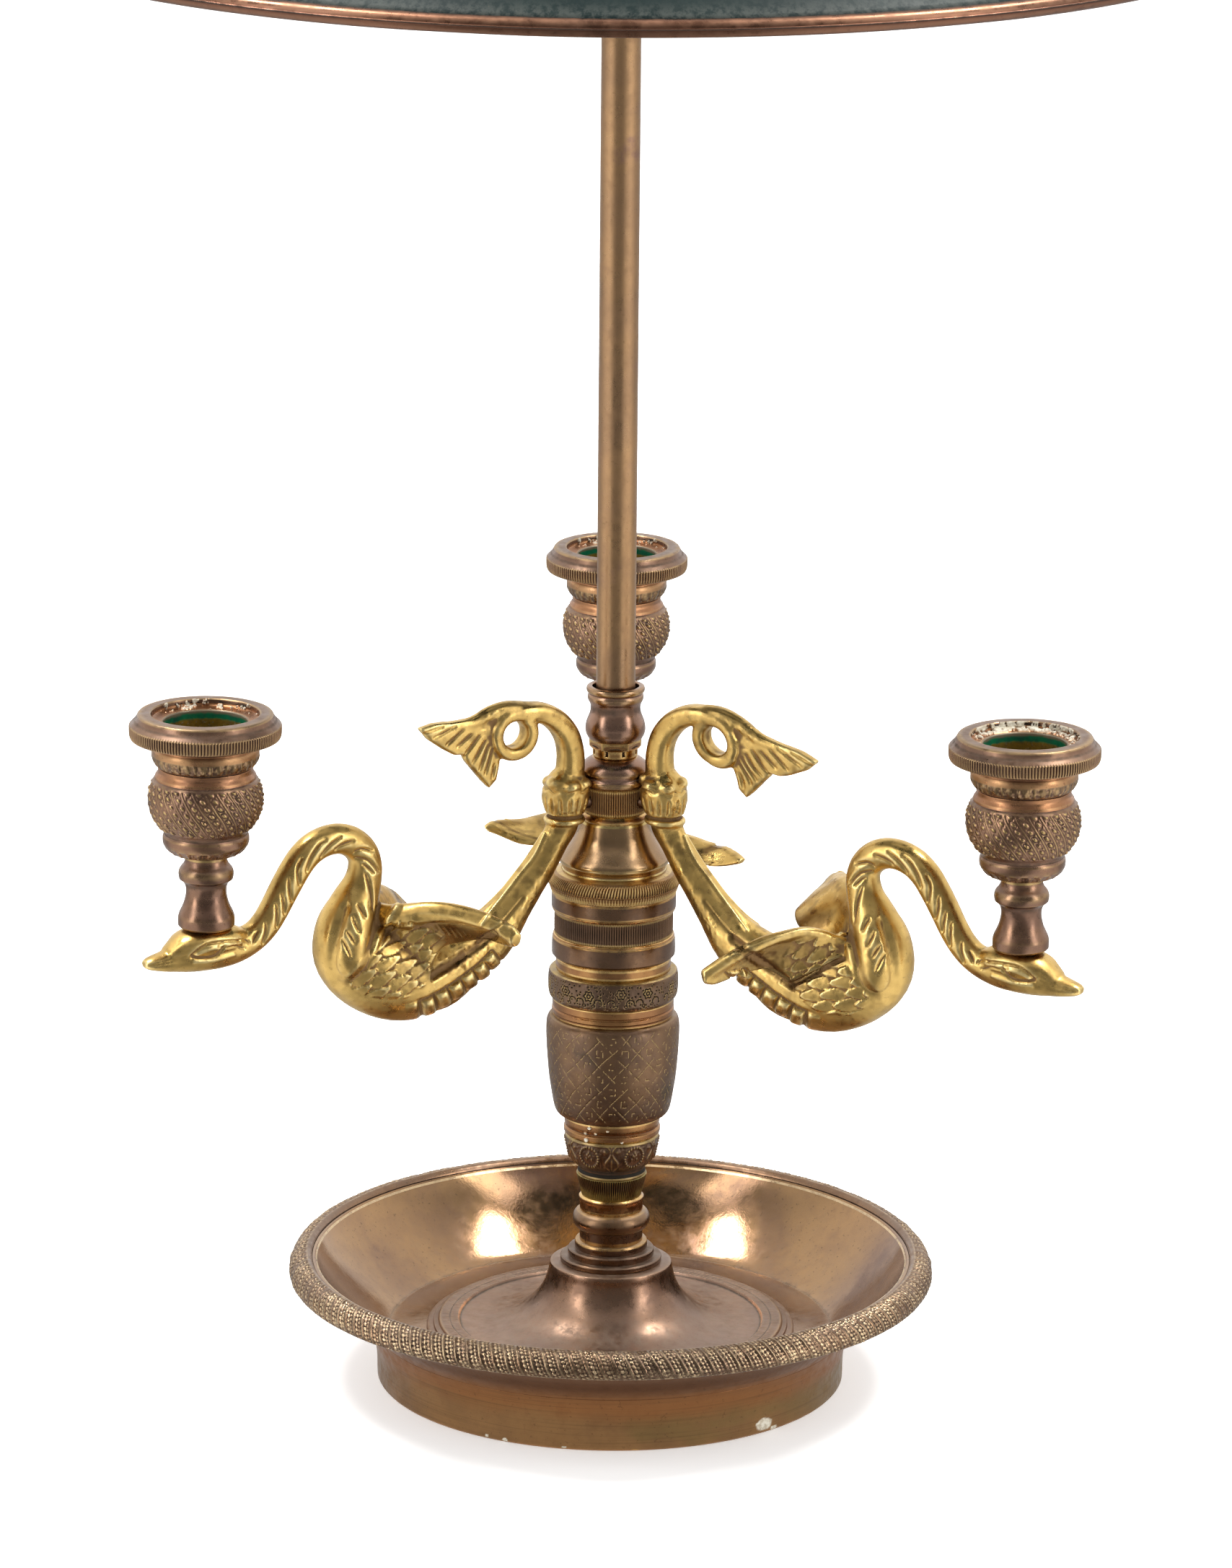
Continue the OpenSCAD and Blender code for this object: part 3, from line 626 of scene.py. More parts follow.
def chips(s, r, z, t):
    """White flecks near the foot's lower edge, one of them large."""
    out = 0.0
    for deg, zc, w, h in ((-49.3, 4.9, 3.0, 1.8), (-46.0, 3.1, 1.3, 0.7), (-116, 3.0, 0.9, 0.6), (-121, 3.2, 0.6, 0.5), (-101, 3.0, 0.7, 0.4)):
        a = math.radians(deg)
        x = np.where(np.abs(t - a % TAU) < 0.3, (t - a % TAU) * r, 99.0)
        d = (x / w) ** 2 + ((z - zc) / h) ** 2 + 0.18 * vnoise(x * 1.1, z * 1.1, z * 0 + 1.0, 5)
        out = np.maximum(out, 1 - ss(0.7, 1.05, d))
    return out


foot_side = [(FOOT + 1.9 * (max(z - 5, 0) / 12.6) ** 2.4, z) for z in (3.8, 5, 6.5, 8, 9.5, 11, 12.2, 13.4, 14.4, 15.3, 16.1, 16.9, 17.6)]
done(turned("foot_ring_turned", [(62.2, 2.4), (63.3, 2.4), (63.75, 2.9), *foot_side, (62.2, 16.4)],
            1300, 0.35, lambda s, r, z, t: 0.05 * vnoise(r * np.cos(t) / 26, r * np.sin(t) / 26, z / 30, 3) * ss(2.5, 3.6, z)
            - 0.12 * chips(s, r, z, t) * ss(2.4, 2.8, z), core=62.2, rad=0.1, marks={"wax": chips}),
     "foot", "stand", "base_bronze", "foot_ring")

pan = turned("dish_pan_spun", [(3.3, 14.2), (60.4, 14.2), (62.2, 16.4), (65.7, 17.6), (66.1, 18.35), (66.55, 19.05), (67.1, 19.75), (67.8, 20.55), (68.7, 21.45),
                               (70.5, 23.1), (72.5, 24.95), (76.5, 29.3), (79.2, 32.7), (81.6, 35.7), (81.6, 36.2), (80.9, 36.25), (79.0, 33.4), (76, 29.7), (72, 25.4),
                               (68, 21.6), (64, 18.2), (61.3, 16.2), (59.5, 15.5), (3.3, 15.5)],
             480, 0.7, lambda s, r, z, t: 0.018 * vnoise(r * np.cos(t) / 17, r * np.sin(t) / 17, z / 17, 5) * ss(58, 62, r),
             core=3.3, rad=0.1)
done(pan, "dish", "stand", "base_bronze", "dish_pan", size=0.8, wide=2.4)
# its underside has the same finish as the foot, with the foot's painted shade
pan.data.materials.append(M["foot"])
way = np.zeros(len(pan.data.polygons) * 3, np.float32)
pan.data.polygons.foreach_get("normal", way)
pan.data.polygons.foreach_set("material_index", (way[2::3] < -0.2).astype(np.int32))

# The rolled bead: slanting smooth bars with pearls between them
BANDS = 150


def bead_disp(s, r, z, t):
    L = 12.4
    f = np.clip((s - 0.6) / L, 0, 1)
    wob = 0.05 * vnoise(np.cos(t) * 9, np.sin(t) * 9, s / 5, 11)
    u = BANDS * t / TAU - 1.45 * f + wob
    env = win(2.4, 12.2, s, 0.5)
    d = near(u)
    pitch = TAU * 87 / BANDS
    x = d * pitch
    wear = 0.75 + 0.35 * vnoise(np.cos(t) * 22, np.sin(t) * 22, s / 3, 4)
    bar = dome(x, 0.66) * 0.46
    side = np.round(u)
    # pearls in two uneven rows between the bars
    up = frac(u) * pitch
    v1 = near(s / 1.22 + hash3(side.astype(np.int64) % BANDS, 1, 2, 5) * 0.6)
    p1 = np.sqrt(np.clip(1 - ((up - 1.32) ** 2 + (v1 * 1.22) ** 2) / 0.6**2, 0, 1)) * 0.5
    v2 = near(s / 0.98 + 0.4)
    p2 = np.sqrt(np.clip(1 - ((up - 2.42) ** 2 + (v2 * 0.98) ** 2) / 0.48**2, 0, 1)) * 0.4
    body = np.maximum(bar, np.maximum(p1, p2)) * wear
    rough = 0.05 * vnoise(np.cos(t) * 240, np.sin(t) * 240, s * 2.6, 9)
    return env * (body - 0.36 + rough) + (1 - env) * 0.0


def bead_tone(s, r, z, t):
    """Gold rubbed through between the bars and along their edges, brown left on them; with the bead's pale wear colour
    this is partly painted glints.
    """
    s = RIM_LEN - s
    f = np.clip((s - 0.6) / 12.4, 0, 1)
    wob = 0.05 * vnoise(np.cos(t) * 9, np.sin(t) * 9, s / 5, 11)
    x = near(BANDS * t / TAU - 1.45 * f + wob) * TAU * 87 / BANDS
    env = win(2.3, 12.6, s, 0.4)
    n1 = vnoise(87 * np.cos(t) / 0.55, 87 * np.sin(t) / 0.55, s / 0.5, 31)
    n2 = vnoise(87 * np.cos(t) / 7, 87 * np.sin(t) / 7, s / 5, 32)
    gold = ss(0.2, 0.8, n1 + 0.55 * n2 + 0.1) * (np.abs(x) > 0.75)
    lip = soft(np.abs(x) - 0.72, 0.2) * ss(-0.5, 0.5, n2 + 0.6 * n1)
    brown = -0.35 * (np.abs(x) < 0.5)
    return env * np.clip(0.55 * gold + 0.6 * lip + brown, -1, 1)


RIM_TOP = [(81.6, 35.9), (81.7, 36.5), (82.3, 37.3), (83.6, 37.8), (85.4, 37.3), (86.9, 35.8),
           (87.8, 33.9), (88.0, 32.3), (87.6, 31.1), (86.6, 30.55)]
RIM_UNDER = [(86.0, 30.4), (83.5, 30.9), (81.0, 32.0), (79.75, 34.0)]
rim = RIM_UNDER[::-1] + RIM_TOP[::-1]


def rim_disp(s, r, z, t):
    # s runs from under the dish up over the bead, so measure it from the lip
    return bead_disp(RIM_LEN - s, r, z, t)


RIM_LEN = float(np.linalg.norm(np.diff(rounded(rim, 0.25), axis=0), axis=1).sum())
done(turned("rim_bead", rim, 1950, lambda s: 0.9 if s < RIM_LEN - 12.8 else 0.29, rim_disp, core=80.3, rad=0.25, max_turn=30,
            marks={"tone": bead_tone}),
     "bead", "stand", "patinated_bronze", "rim_band", size=0.45, wide=1.2)


def dome_disp(s, r, z, t):
    ring = win(41.7, 46.3, r, 0.25) * (z < 19)
    ticks = soft(near(220 * t / TAU + 0.02 * vnoise(np.cos(t) * 30, np.sin(t) * 30, r, 2)), 0.3)
    groove = soft(r - 44.0, 0.35)
    d = -0.24 * ring * np.maximum(ticks * (1 - groove) * (0.6 + 0.5 * vnoise(np.cos(t) * 60, np.sin(t) * 60, r / 2, 8)), 0.9 * groove)
    return d + 0.03 * vnoise(r * np.cos(t) / 9, r * np.sin(t) / 9, z / 9, 6)


done(turned("dome_foot_turned", [(3.3, 15.5), (50.3, 15.5), (50.3, 16.15), (49.8, 16.55), (48.5, 16.7), (48.4, 17.35), (47.2, 17.65),
                                 (46.9, 18.15), (46.45, 18.35), (41.7, 18.35), (41.2, 17.6), (36, 17.5), (32, 17.9),
                                 (27, 19.3), (23, 21.8), (20, 25), (18, 28.5), (17, 32), (16.75, 33.8), (16.55, 34.6),
                                 (15.9, 35), (3.3, 35)],
            900, lambda s: 8.0 if s < 45 else 0.4, dome_disp, core=3.3, rad=0.12,
            # tone: painted highlights on the ring's two edges, painted shade in the grooves beside them
            marks={"tone": lambda s, r, z, t: (z > 16.2) * (z < 19) * (0.2 * soft(r - 41.9, 0.3) + 0.3 * soft(r - 46.6, 0.5)
                                                               - 1.0 * soft(r - 41.1, 0.5) - 0.5 * soft(r - 47.6, 0.4)) + 0 * t}),
     "dome", "stand", "base_bronze", "dome_foot", size=0.5, wide=1.8)

# ---------------------------------------------------------------- stem
done(turned("stem_steps", [(13.5, 35), (13.8, 35.25), (13.8, 36.25), (13.45, 36.6), (11.6, 36.6), (11.75, 36.85), (11.75, 38.35),
                           (11.45, 38.7), (9.75, 38.7), (9.9, 38.95), (9.9, 40.55), (9.6, 41)], 200, 0.3, rad=0.2),
     "turned", "stand", "patinated_bronze", "stepped_collar")
ring = [(8.3 + 2.25 * math.cos(math.radians(a)), 47 + 2.7 * math.sin(math.radians(a))) for a in range(-78, 79, 12)]
done(turned("stem_torus", [(8.6, 41), (8.6, 44.3)] + ring + [(8.6, 49.7)], 200, 0.3, rad=0.2),
     "turned", "stand", "patinated_bronze", "torus_ring")


def flutes(n, depth, z0, z1, e=0.3, p=0.0, ph=0.0):
    def f(s, r, z, t):
        u = near(n * t / TAU + ph + p * (z - z0))
        return -depth * win(z0, z1, z, e) * (1 - np.sqrt(np.clip(1 - (u / 0.44) ** 2, 0, 1)) ** 0.8)
    return f


done(turned("stem_ring_low", [(8.6, 49.7), (8.6, 52.35), (8.85, 52.75), (8.85, 53.4), (8.2, 54.0)], 160, 0.3, core=3.3, rad=0.18),
     "copper", "stand", "patinated_bronze", "lower_knurled_ring")
done(turned("stem_knurl_low", [(8.15, 54.0), (8.4, 54.8), (9.0, 57.5), (9.62, 60.0), (9.3, 60.2)], 94 * 9, 0.45,
            flutes(94, 0.42, 54.2, 60.1), core=3.3, rad=0.15),
     "knurl_olive", "stand", "patinated_bronze", size=0.3, wide=0.8)


def motif_ring(t, z, n, zc, r):
    """Angle within each of n motifs, as millimetres across and up."""
    k = np.round(n * t / TAU)
    return (t - k * TAU / n) * r, z - zc, k.astype(np.int64) % n


def bulb_disp(s, r, z, t):
    x, y, k = motif_ring(t, z, 12, 67.4, 12.2)
    x2, y2, _ = motif_ring(t + TAU / 24 * 0, z, 12, 67.4, 12.2)
    even = (k % 2) == 0
    rad = np.hypot(x, y * 0.92)
    # a wreathed disc with a small leaf spray
    wreath = soft(rad - 2.75, 0.5) * (0.75 + 0.5 * np.cos(np.arctan2(y, x) * 22))
    leafs = 0
    for a, c in ((0, 0.2), (0.75, -0.6), (-0.75, -0.6), (0.0, 1.35), (0.45, 0.6), (-0.45, 0.6)):
        leafs = np.maximum(leafs, np.exp(-(((x - a) / 0.34) ** 2 + ((y - c) / 0.55) ** 2) * 1.6))
    disc = 0.34 * wreath + 0.26 * leafs - 0.1 * (rad < 2.3)
    # a scrolling leaf between the discs
    sc = soft(np.abs(x) - 0.9 - 0.8 * np.sin((y + 3.5) * 0.9), 0.5)
    vein = soft(x, 0.3) * 0.8
    buds = np.exp(-((np.abs(x) - 1.5) ** 2 + (y - 2.1) ** 2) * 1.9) + np.exp(-((np.abs(x) - 1.5) ** 2 + (y + 1.9) ** 2) * 1.9)
    leaf = 0.28 * np.maximum(np.maximum(sc, vein), np.minimum(buds, 1))
    d = np.where(even, disc, leaf)
    grit = 0.05 * vnoise(x * 2.3 + k * 7, y * 2.3, r * 0.0 + 1.0, 21)
    return win(62.9, 71.3, z, 0.9) * (d + grit - 0.12)


done(turned("stem_bulb", [(9.3, 60.2), (9.3, 60.8), (9.0, 61.8), (9.4, 62.7), (10.2, 63.4), (11.3, 64.4), (12.1, 65.8),
                          (12.5, 67.4), (12.8, 69.2), (12.9, 70.6), (12.85, 71.4), (12.5, 71.8)], 620, 0.2, bulb_disp, rad=0.18),
     "carved", "stand", "base_bronze", "lower_bulb", size=0.35, wide=1.1)


def wax_specks(s, r, z, t):
    out = 0.0
    for deg, zc, w in ((-118, 76.0, 0.55), (-110, 74.6, 0.35), (-122, 72.6, 0.7), (-124, 74.3, 0.5), (-78, 72.4, 0.3), (-95, 75.6, 0.3)):
        x = ((t - math.radians(deg) + math.pi) % TAU - math.pi) * r
        out = np.maximum(out, 1 - ss(0.6, 1.1, (x / w) ** 2 + ((z - zc) / (0.8 * w)) ** 2))
    return out


done(turned("stem_bulb_rings", [(12.5, 71.8), (13.1, 72.3), (13.15, 73.5), (12.6, 74.1), (13.0, 74.8), (13.05, 77.3)], 360, 0.2, rad=0.2,
            disp=lambda s, r, z, t: 0.3 * wax_specks(s, r, z, t), marks={"wax": wax_specks}),
     "copper", "stand", "base_bronze")


def vase_disp(s, r, z, t):
    a = 16 * t / TAU
    b = 2 * (z - 77) / 7.3
    w1 = 0.05 * vnoise(np.cos(t) * 5, np.sin(t) * 5, z / 6, 3)
    gap = ss(-0.25, 0.25, vnoise(np.cos(t) * 34, np.sin(t) * 34, z / 1.1, 7) + 0.1)
    gap2 = ss(-0.25, 0.25, vnoise(np.cos(t) * 34, np.sin(t) * 34, z / 1.1, 17) + 0.1)
    l1 = soft(near(a + b * 0.5 + w1) * 7.4, 0.21) * gap
    l2 = soft(near(a - b * 0.5 + w1) * 7.4, 0.21) * gap2
    # small double dashes at the middle of each diamond
    pu, pv = near(a + b * 0.5 + 0.5), near(a - b * 0.5 + 0.5)
    X, Y = (pu + pv) * 3.5, (pu - pv) * 3.65
    sq = np.abs(np.maximum(np.abs(X), np.abs(Y)) - 0.85)
    g3 = ss(-0.1, 0.3, vnoise(np.cos(t) * 44, np.sin(t) * 44, z / 0.8, 27))
    l3 = soft(sq, 0.24) * g3 * 0.8
    e = win(78.2, 104.6, z, 0.8)
    return -0.15 * e * np.maximum(np.maximum(l1, l2), l3)


done(turned("stem_vase", [(14.2, 77.3), (15.1, 77.85), (15.7, 79), (16.1, 80.7), (16.5, 83), (16.9, 85.5), (17.3, 88.2),
                          (17.6, 91.5), (17.85, 95), (18, 97.5), (18.1, 100), (18.1, 102.3), (17.95, 103.9), (17.5, 104.9),
                          (16.7, 105.4)], 640, 0.235, vase_disp, rad=0.3),
     "vase", "stand", "patinated_bronze", "vase_body", size=0.3, wide=1.0)
done(turned("stem_neck_rings", [(16.2, 105.4), (16.2, 106.2), (16.6, 106.55), (16.6, 107.5), (16.15, 107.9), (16.5, 108.25), (16.5, 110.3)],
            256, 0.2, rad=0.2),
     "copper", "stand", "base_bronze", "neck_rings")


def floral_disp(s, r, z, t):
    x, y, k = motif_ring(t, z, 13, 114.4, 17.6)
    e = win(110.7, 118.1, z, 0.5)
    fl = hash3(k, 3, 4, 8)
    cx, cy = (fl - 0.5) * 1.6, 1.3 - 1.1 * hash3(k, 5, 6, 1)
    rd = np.hypot(x - cx, y - cy)
    ang = np.arctan2(y - cy, x - cx)
    cuts = soft(rd - 1.25 - 0.18 * np.cos(6 * ang), 0.24)
    cuts = np.maximum(cuts, soft(rd - 0.5, 0.2) * 0.9)
    # stems that curl away from each flower
    for sg in (-1, 1):
        c = soft(np.hypot(x - cx - sg * 2.6, y + 1.5) - 1.1, 0.2) * ss(-0.2, 0.3, (y + 1.9 + sg * 0.2) / 1.0)
        cuts = np.maximum(cuts, c * 0.9)
        c = soft(np.hypot(x - cx - sg * 1.35, y + 2.3) - 0.42, 0.19)
        cuts = np.maximum(cuts, c * 0.8)
    # punched ground
    gx, gz = t * 17.6 / 0.86, z / 0.86
    ix, iz = np.floor(gx).astype(np.int64), np.floor(gz).astype(np.int64)
    jx, jz = hash3(ix, iz, 1, 3) * 0.5 + 0.25, hash3(ix, iz, 2, 3) * 0.5 + 0.25
    on = hash3(ix, iz, 3, 3) > 0.52
    pd = np.hypot(gx - ix - jx, gz - iz - jz)
    punch = dome(pd, 0.27) * on
    cuts = np.maximum(cuts, punch * (rd > 1.7))
    return -0.42 * e * cuts + 0.02 * vnoise(np.cos(t) * 60, np.sin(t) * 60, z, 2)


done(turned("stem_floral", [(16.6, 110.3), (17.2, 110.95), (17.6, 112.2), (17.65, 114.5), (17.6, 116.9), (17.35, 117.9), (16.7, 118.4)],
            760, 0.16, floral_disp, rad=0.3),
     "carved", "stand", "patinated_bronze", "floral_band", size=0.3, wide=0.9)
done(turned("stem_copper_gap", [(15.6, 118.4), (15.6, 121.9)], 256, 0.5, lambda s, r, z, t: 0.02 * vnoise(np.cos(t) * 4, np.sin(t) * 4, z, 2)),
     "copper", "stand", "base_bronze", "lower_collar")
done(turned("stem_collar_low", [(15.6, 121.9), (16.2, 122.15), (16.7, 122.75), (16.72, 125), (16.65, 127.3), (16.4, 127.75)], 256, 0.35, rad=0.3),
     "turned", "stand", "base_bronze")
done(turned("stem_fillet_low", [(16.4, 127.75), (16.45, 128.0), (16.1, 128.4)], 256, 0.12, rad=0.15),
     "copper", "stand", "base_bronze")
done(turned("stem_knurl_mid", [(16.0, 128.4), (16.1, 128.7), (16.1, 134.6), (16.0, 134.9)], 151 * 8, 0.5,
            flutes(151, 0.46, 128.6, 134.7, 0.25), rad=0.12),
     "knurl", "stand", "patinated_bronze", "knurled_band", size=0.3, wide=0.8)
done(turned("stem_fillet_high", [(16.0, 134.9), (16.5, 135.0), (16.75, 135.5)], 256, 0.12, rad=0.15),
     "copper", "stand", "patinated_bronze")
done(turned("stem_collar_high", [(16.75, 135.5), (16.85, 136.1), (16.85, 139.5), (16.7, 140)], 256, 0.35, rad=0.25),
     "turned", "stand", "patinated_bronze", "upper_collar")


def rope_disp(s, r, z, t):
    n = 138
    u = near(n * t / TAU)
    a = 1 - np.sqrt(np.clip(1 - (u / 0.44) ** 2, 0, 1)) ** 0.8
    low = win(140.1, 142.25, z, 0.2) * (s < 2.6)
    v = near(n * t / TAU - 0.22 * np.clip(s - 2.4, 0, 5) + 0.5)
    b = 1 - np.sqrt(np.clip(1 - (v / 0.44) ** 2, 0, 1)) ** 0.8
    high = win(142.3, 145.5, z, 0.5) * (s > 2.3)
    return -0.45 * a * low - 0.5 * b * high


done(turned("stem_rope", [(16.8, 140), (17.0, 140.3), (17.55, 141.9), (17.4, 142.25), (17.85, 142.5), (17.75, 143.5), (17.1, 144.7),
                          (16.1, 145.7), (14.6, 146.4)], 138 * 9, 0.24, rope_disp, rad=0.15, soft_deg=42),
     "knurl_gold", "stand", "patinated_bronze", "rope_ring", size=0.3, wide=0.9)
done(turned("stem_bell", [(14.3, 146.4), (13.9, 146.9), (14.1, 147.7), (14.8, 148.4), (14.95, 149.2), (14.55, 150.2), (13.2, 151.9),
                          (11.8, 153.8), (10.6, 156), (9.8, 158.3), (9.3, 160.5)], 256, 0.3,
            lambda s, r, z, t: 0.03 * vnoise(r * np.cos(t) / 4, r * np.sin(t) / 4, z / 4, 6), rad=0.3, soft_deg=50),
     "bell", "stand", "base_bronze", "bell_cap")

# ---------------------------------------------------------------- hub
done(turned("hub_base", [(9.3, 160.5), (9.45, 160.8), (9.4, 161.4), (8.75, 162.1), (8.4, 162.4)], 200, 0.2, rad=0.2),
     "copper", "stand", "cast_brass")
done(turned("hub_drum", [(8.4, 162.4), (8.45, 162.7), (8.45, 169.5), (8.4, 169.8)], 80 * 10, 0.5,
            flutes(80, 0.42, 162.6, 169.7, 0.3), rad=0.12),
     "knurl_gold", "stand", "cast_brass", "arm_hub", size=0.3, wide=0.8)
done(turned("hub_cap_turned", [(8.5, 169.8), (9.3, 170.3), (9.65, 170.9), (9.65, 171.8), (9.1, 172.4), (9.0, 172.9), (9.35, 173.6),
                               (9.25, 174.6), (8.6, 175.8), (7.5, 176.8), (6.2, 177.5), (5.4, 177.8)], 220, 0.22, rad=0.2, soft_deg=46),
     "socket", "stand", "patinated_bronze", "hub_cap")


def slots(s, r, z, t):
    u = near(8 * t / TAU + 0.5)
    return -0.9 * (1 - ss(0.075, 0.1, np.abs(u))) * ss(178.6, 178.9, z) * (r > 5.4)


done(turned("lock_ring", [(5.0, 177.8), (5.9, 177.9), (6.1, 178.2), (6.1, 180.1), (5.9, 180.3)], 400, 0.2, slots, rad=0.15),
     "copper", "stand", "patinated_bronze", "lock_nut")


def hexed(s, r, z, t):
    a = near(6 * (t + math.pi / 2) / TAU) * TAU / 6
    flat = 6.05 / np.cos(a)
    return (flat - r) * win(180.25, 182.6, z, 0.25) * (r > 6)


done(turned("rod_socket_hex", [(6.2, 180.25), (6.75, 180.3), (6.95, 180.6), (6.95, 182.1), (6.7, 182.5)], 360, 0.16, hexed, rad=0.12),
     "copper", "stand", "patinated_bronze")
sock = turned("rod_socket_bulb",
              [(5.6, 182.4), (6.9, 182.5), (7.4, 183.0), (8.0, 184.3), (8.15, 185.6), (7.9, 187.2), (7.3, 188.7), (6.75, 190.2),
               (6.65, 191.5), (6.95, 192.6), (7.4, 193.3), (7.6, 194.1), (7.45, 194.9), (7.2, 195.2), (7.75, 195.7), (7.92, 196.3),
               (7.75, 197), (7.2, 197.3), (6.4, 197.25), (6.15, 196.9), (6.15, 190.5), (5.4, 190.3)],
              256, 0.22, core=5.3, rad=0.2, soft_deg=44)
done(sock, "socket", "stand", "patinated_bronze", "rod_socket")
done(turned("rod_tube_drawn", [(4.25, 184), (5.25, 184), (5.25, 545.6), (5.0, 546), (4.25, 546)], 128, 2.5,
            lambda s, r, z, t: 0.012 * vnoise(np.cos(t) * 1.5, np.sin(t) * 1.5, z / 30, 3), core=4.25, rad=0.2),
     "rod", "stand", "rod_brass", "rod_tube")

# ---------------------------------------------------------------- cups
ARMS = {"left": (210, 0.0), "right": (330, 4.2), "back": (90, 0.0)}
CUP_R, PAD = 123.5, 147.2
BARS = 28


def cup_disp(s, r, z, t):
    # pearls between slanting bars on the bulb
    f = (20.6 - z) / 12.4
    u = BARS * t / TAU - 2.35 * f
    e = win(7.4, 20.2, z, 0.5) * (r > 12.2)
    pitch = TAU * 15 / BARS
    x = near(u) * pitch
    bar = soft(np.abs(x) - 0.42, 0.26)  # two fine cuts beside each bar
    up = (frac(u) - 0.5) * pitch
    v = near((20.0 - z) / 1.95)
    k = np.round((20.0 - z) / 1.95)
    grow = np.where(k < 0.5, 1.2, 1.0)
    pd = np.hypot(up * 0.95, v * 1.95)
    pearl = dome(pd, 0.52 * grow) * 0.34
    cut = soft(pd - 0.78 * grow, 0.3) * 0.3
    side = 0.34 * bar
    d = pearl - np.maximum(cut, side)
    wear = 0.7 + 0.5 * vnoise(np.cos(t) * 4, np.sin(t) * 4, z / 3, 14)
    out = e * d * np.clip(wear, 0.25, 1.1)
    # leaves round the underside of the collar
    e2 = win(0.75, 2.7, z, 0.3) * (r > 9)
    lf = soft(near(22 * t / TAU + 0.04 * vnoise(np.cos(t) * 9, np.sin(t) * 9, z, 4)), 0.34)
    out = out + e2 * (0.25 * lf - 0.14 + 0.06 * vnoise(np.cos(t) * 40, np.sin(t) * 40, z * 2, 5))
    return out


def drip_disp(s, r, z, t):
    u = near(150 * t / TAU)
    a = 1 - np.sqrt(np.clip(1 - (u / 0.44) ** 2, 0, 1)) ** 0.8
    d = -0.48 * a * win(31.7, 35.35, z, 0.35) * (r > 19.2)
    e2 = win(24.7, 27.4, z, 0.3) * (r < 14.6) * (r > 12.7)
    lf = np.maximum(soft(near(20 * t / TAU), 0.3), 0.8 * soft(near(20 * t / TAU + 0.5), 0.14))
    d = d + e2 * (0.25 * lf - 0.15 + 0.07 * vnoise(np.cos(t) * 30, np.sin(t) * 30, z * 2, 6))
    return d


def band_tone(s, r, z, t):
    """Gold specks on brown round the beaded band under the drip ring's flange."""
    v = vnoise(14 * np.cos(t) / 0.5, 14 * np.sin(t) / 0.5, z / 0.5, 71)
    return win(24.6, 27.5, z, 0.2) * (r < 14.6) * (r > 12.6) * (1.1 * ss(0.15, 0.5, v) - 0.35)


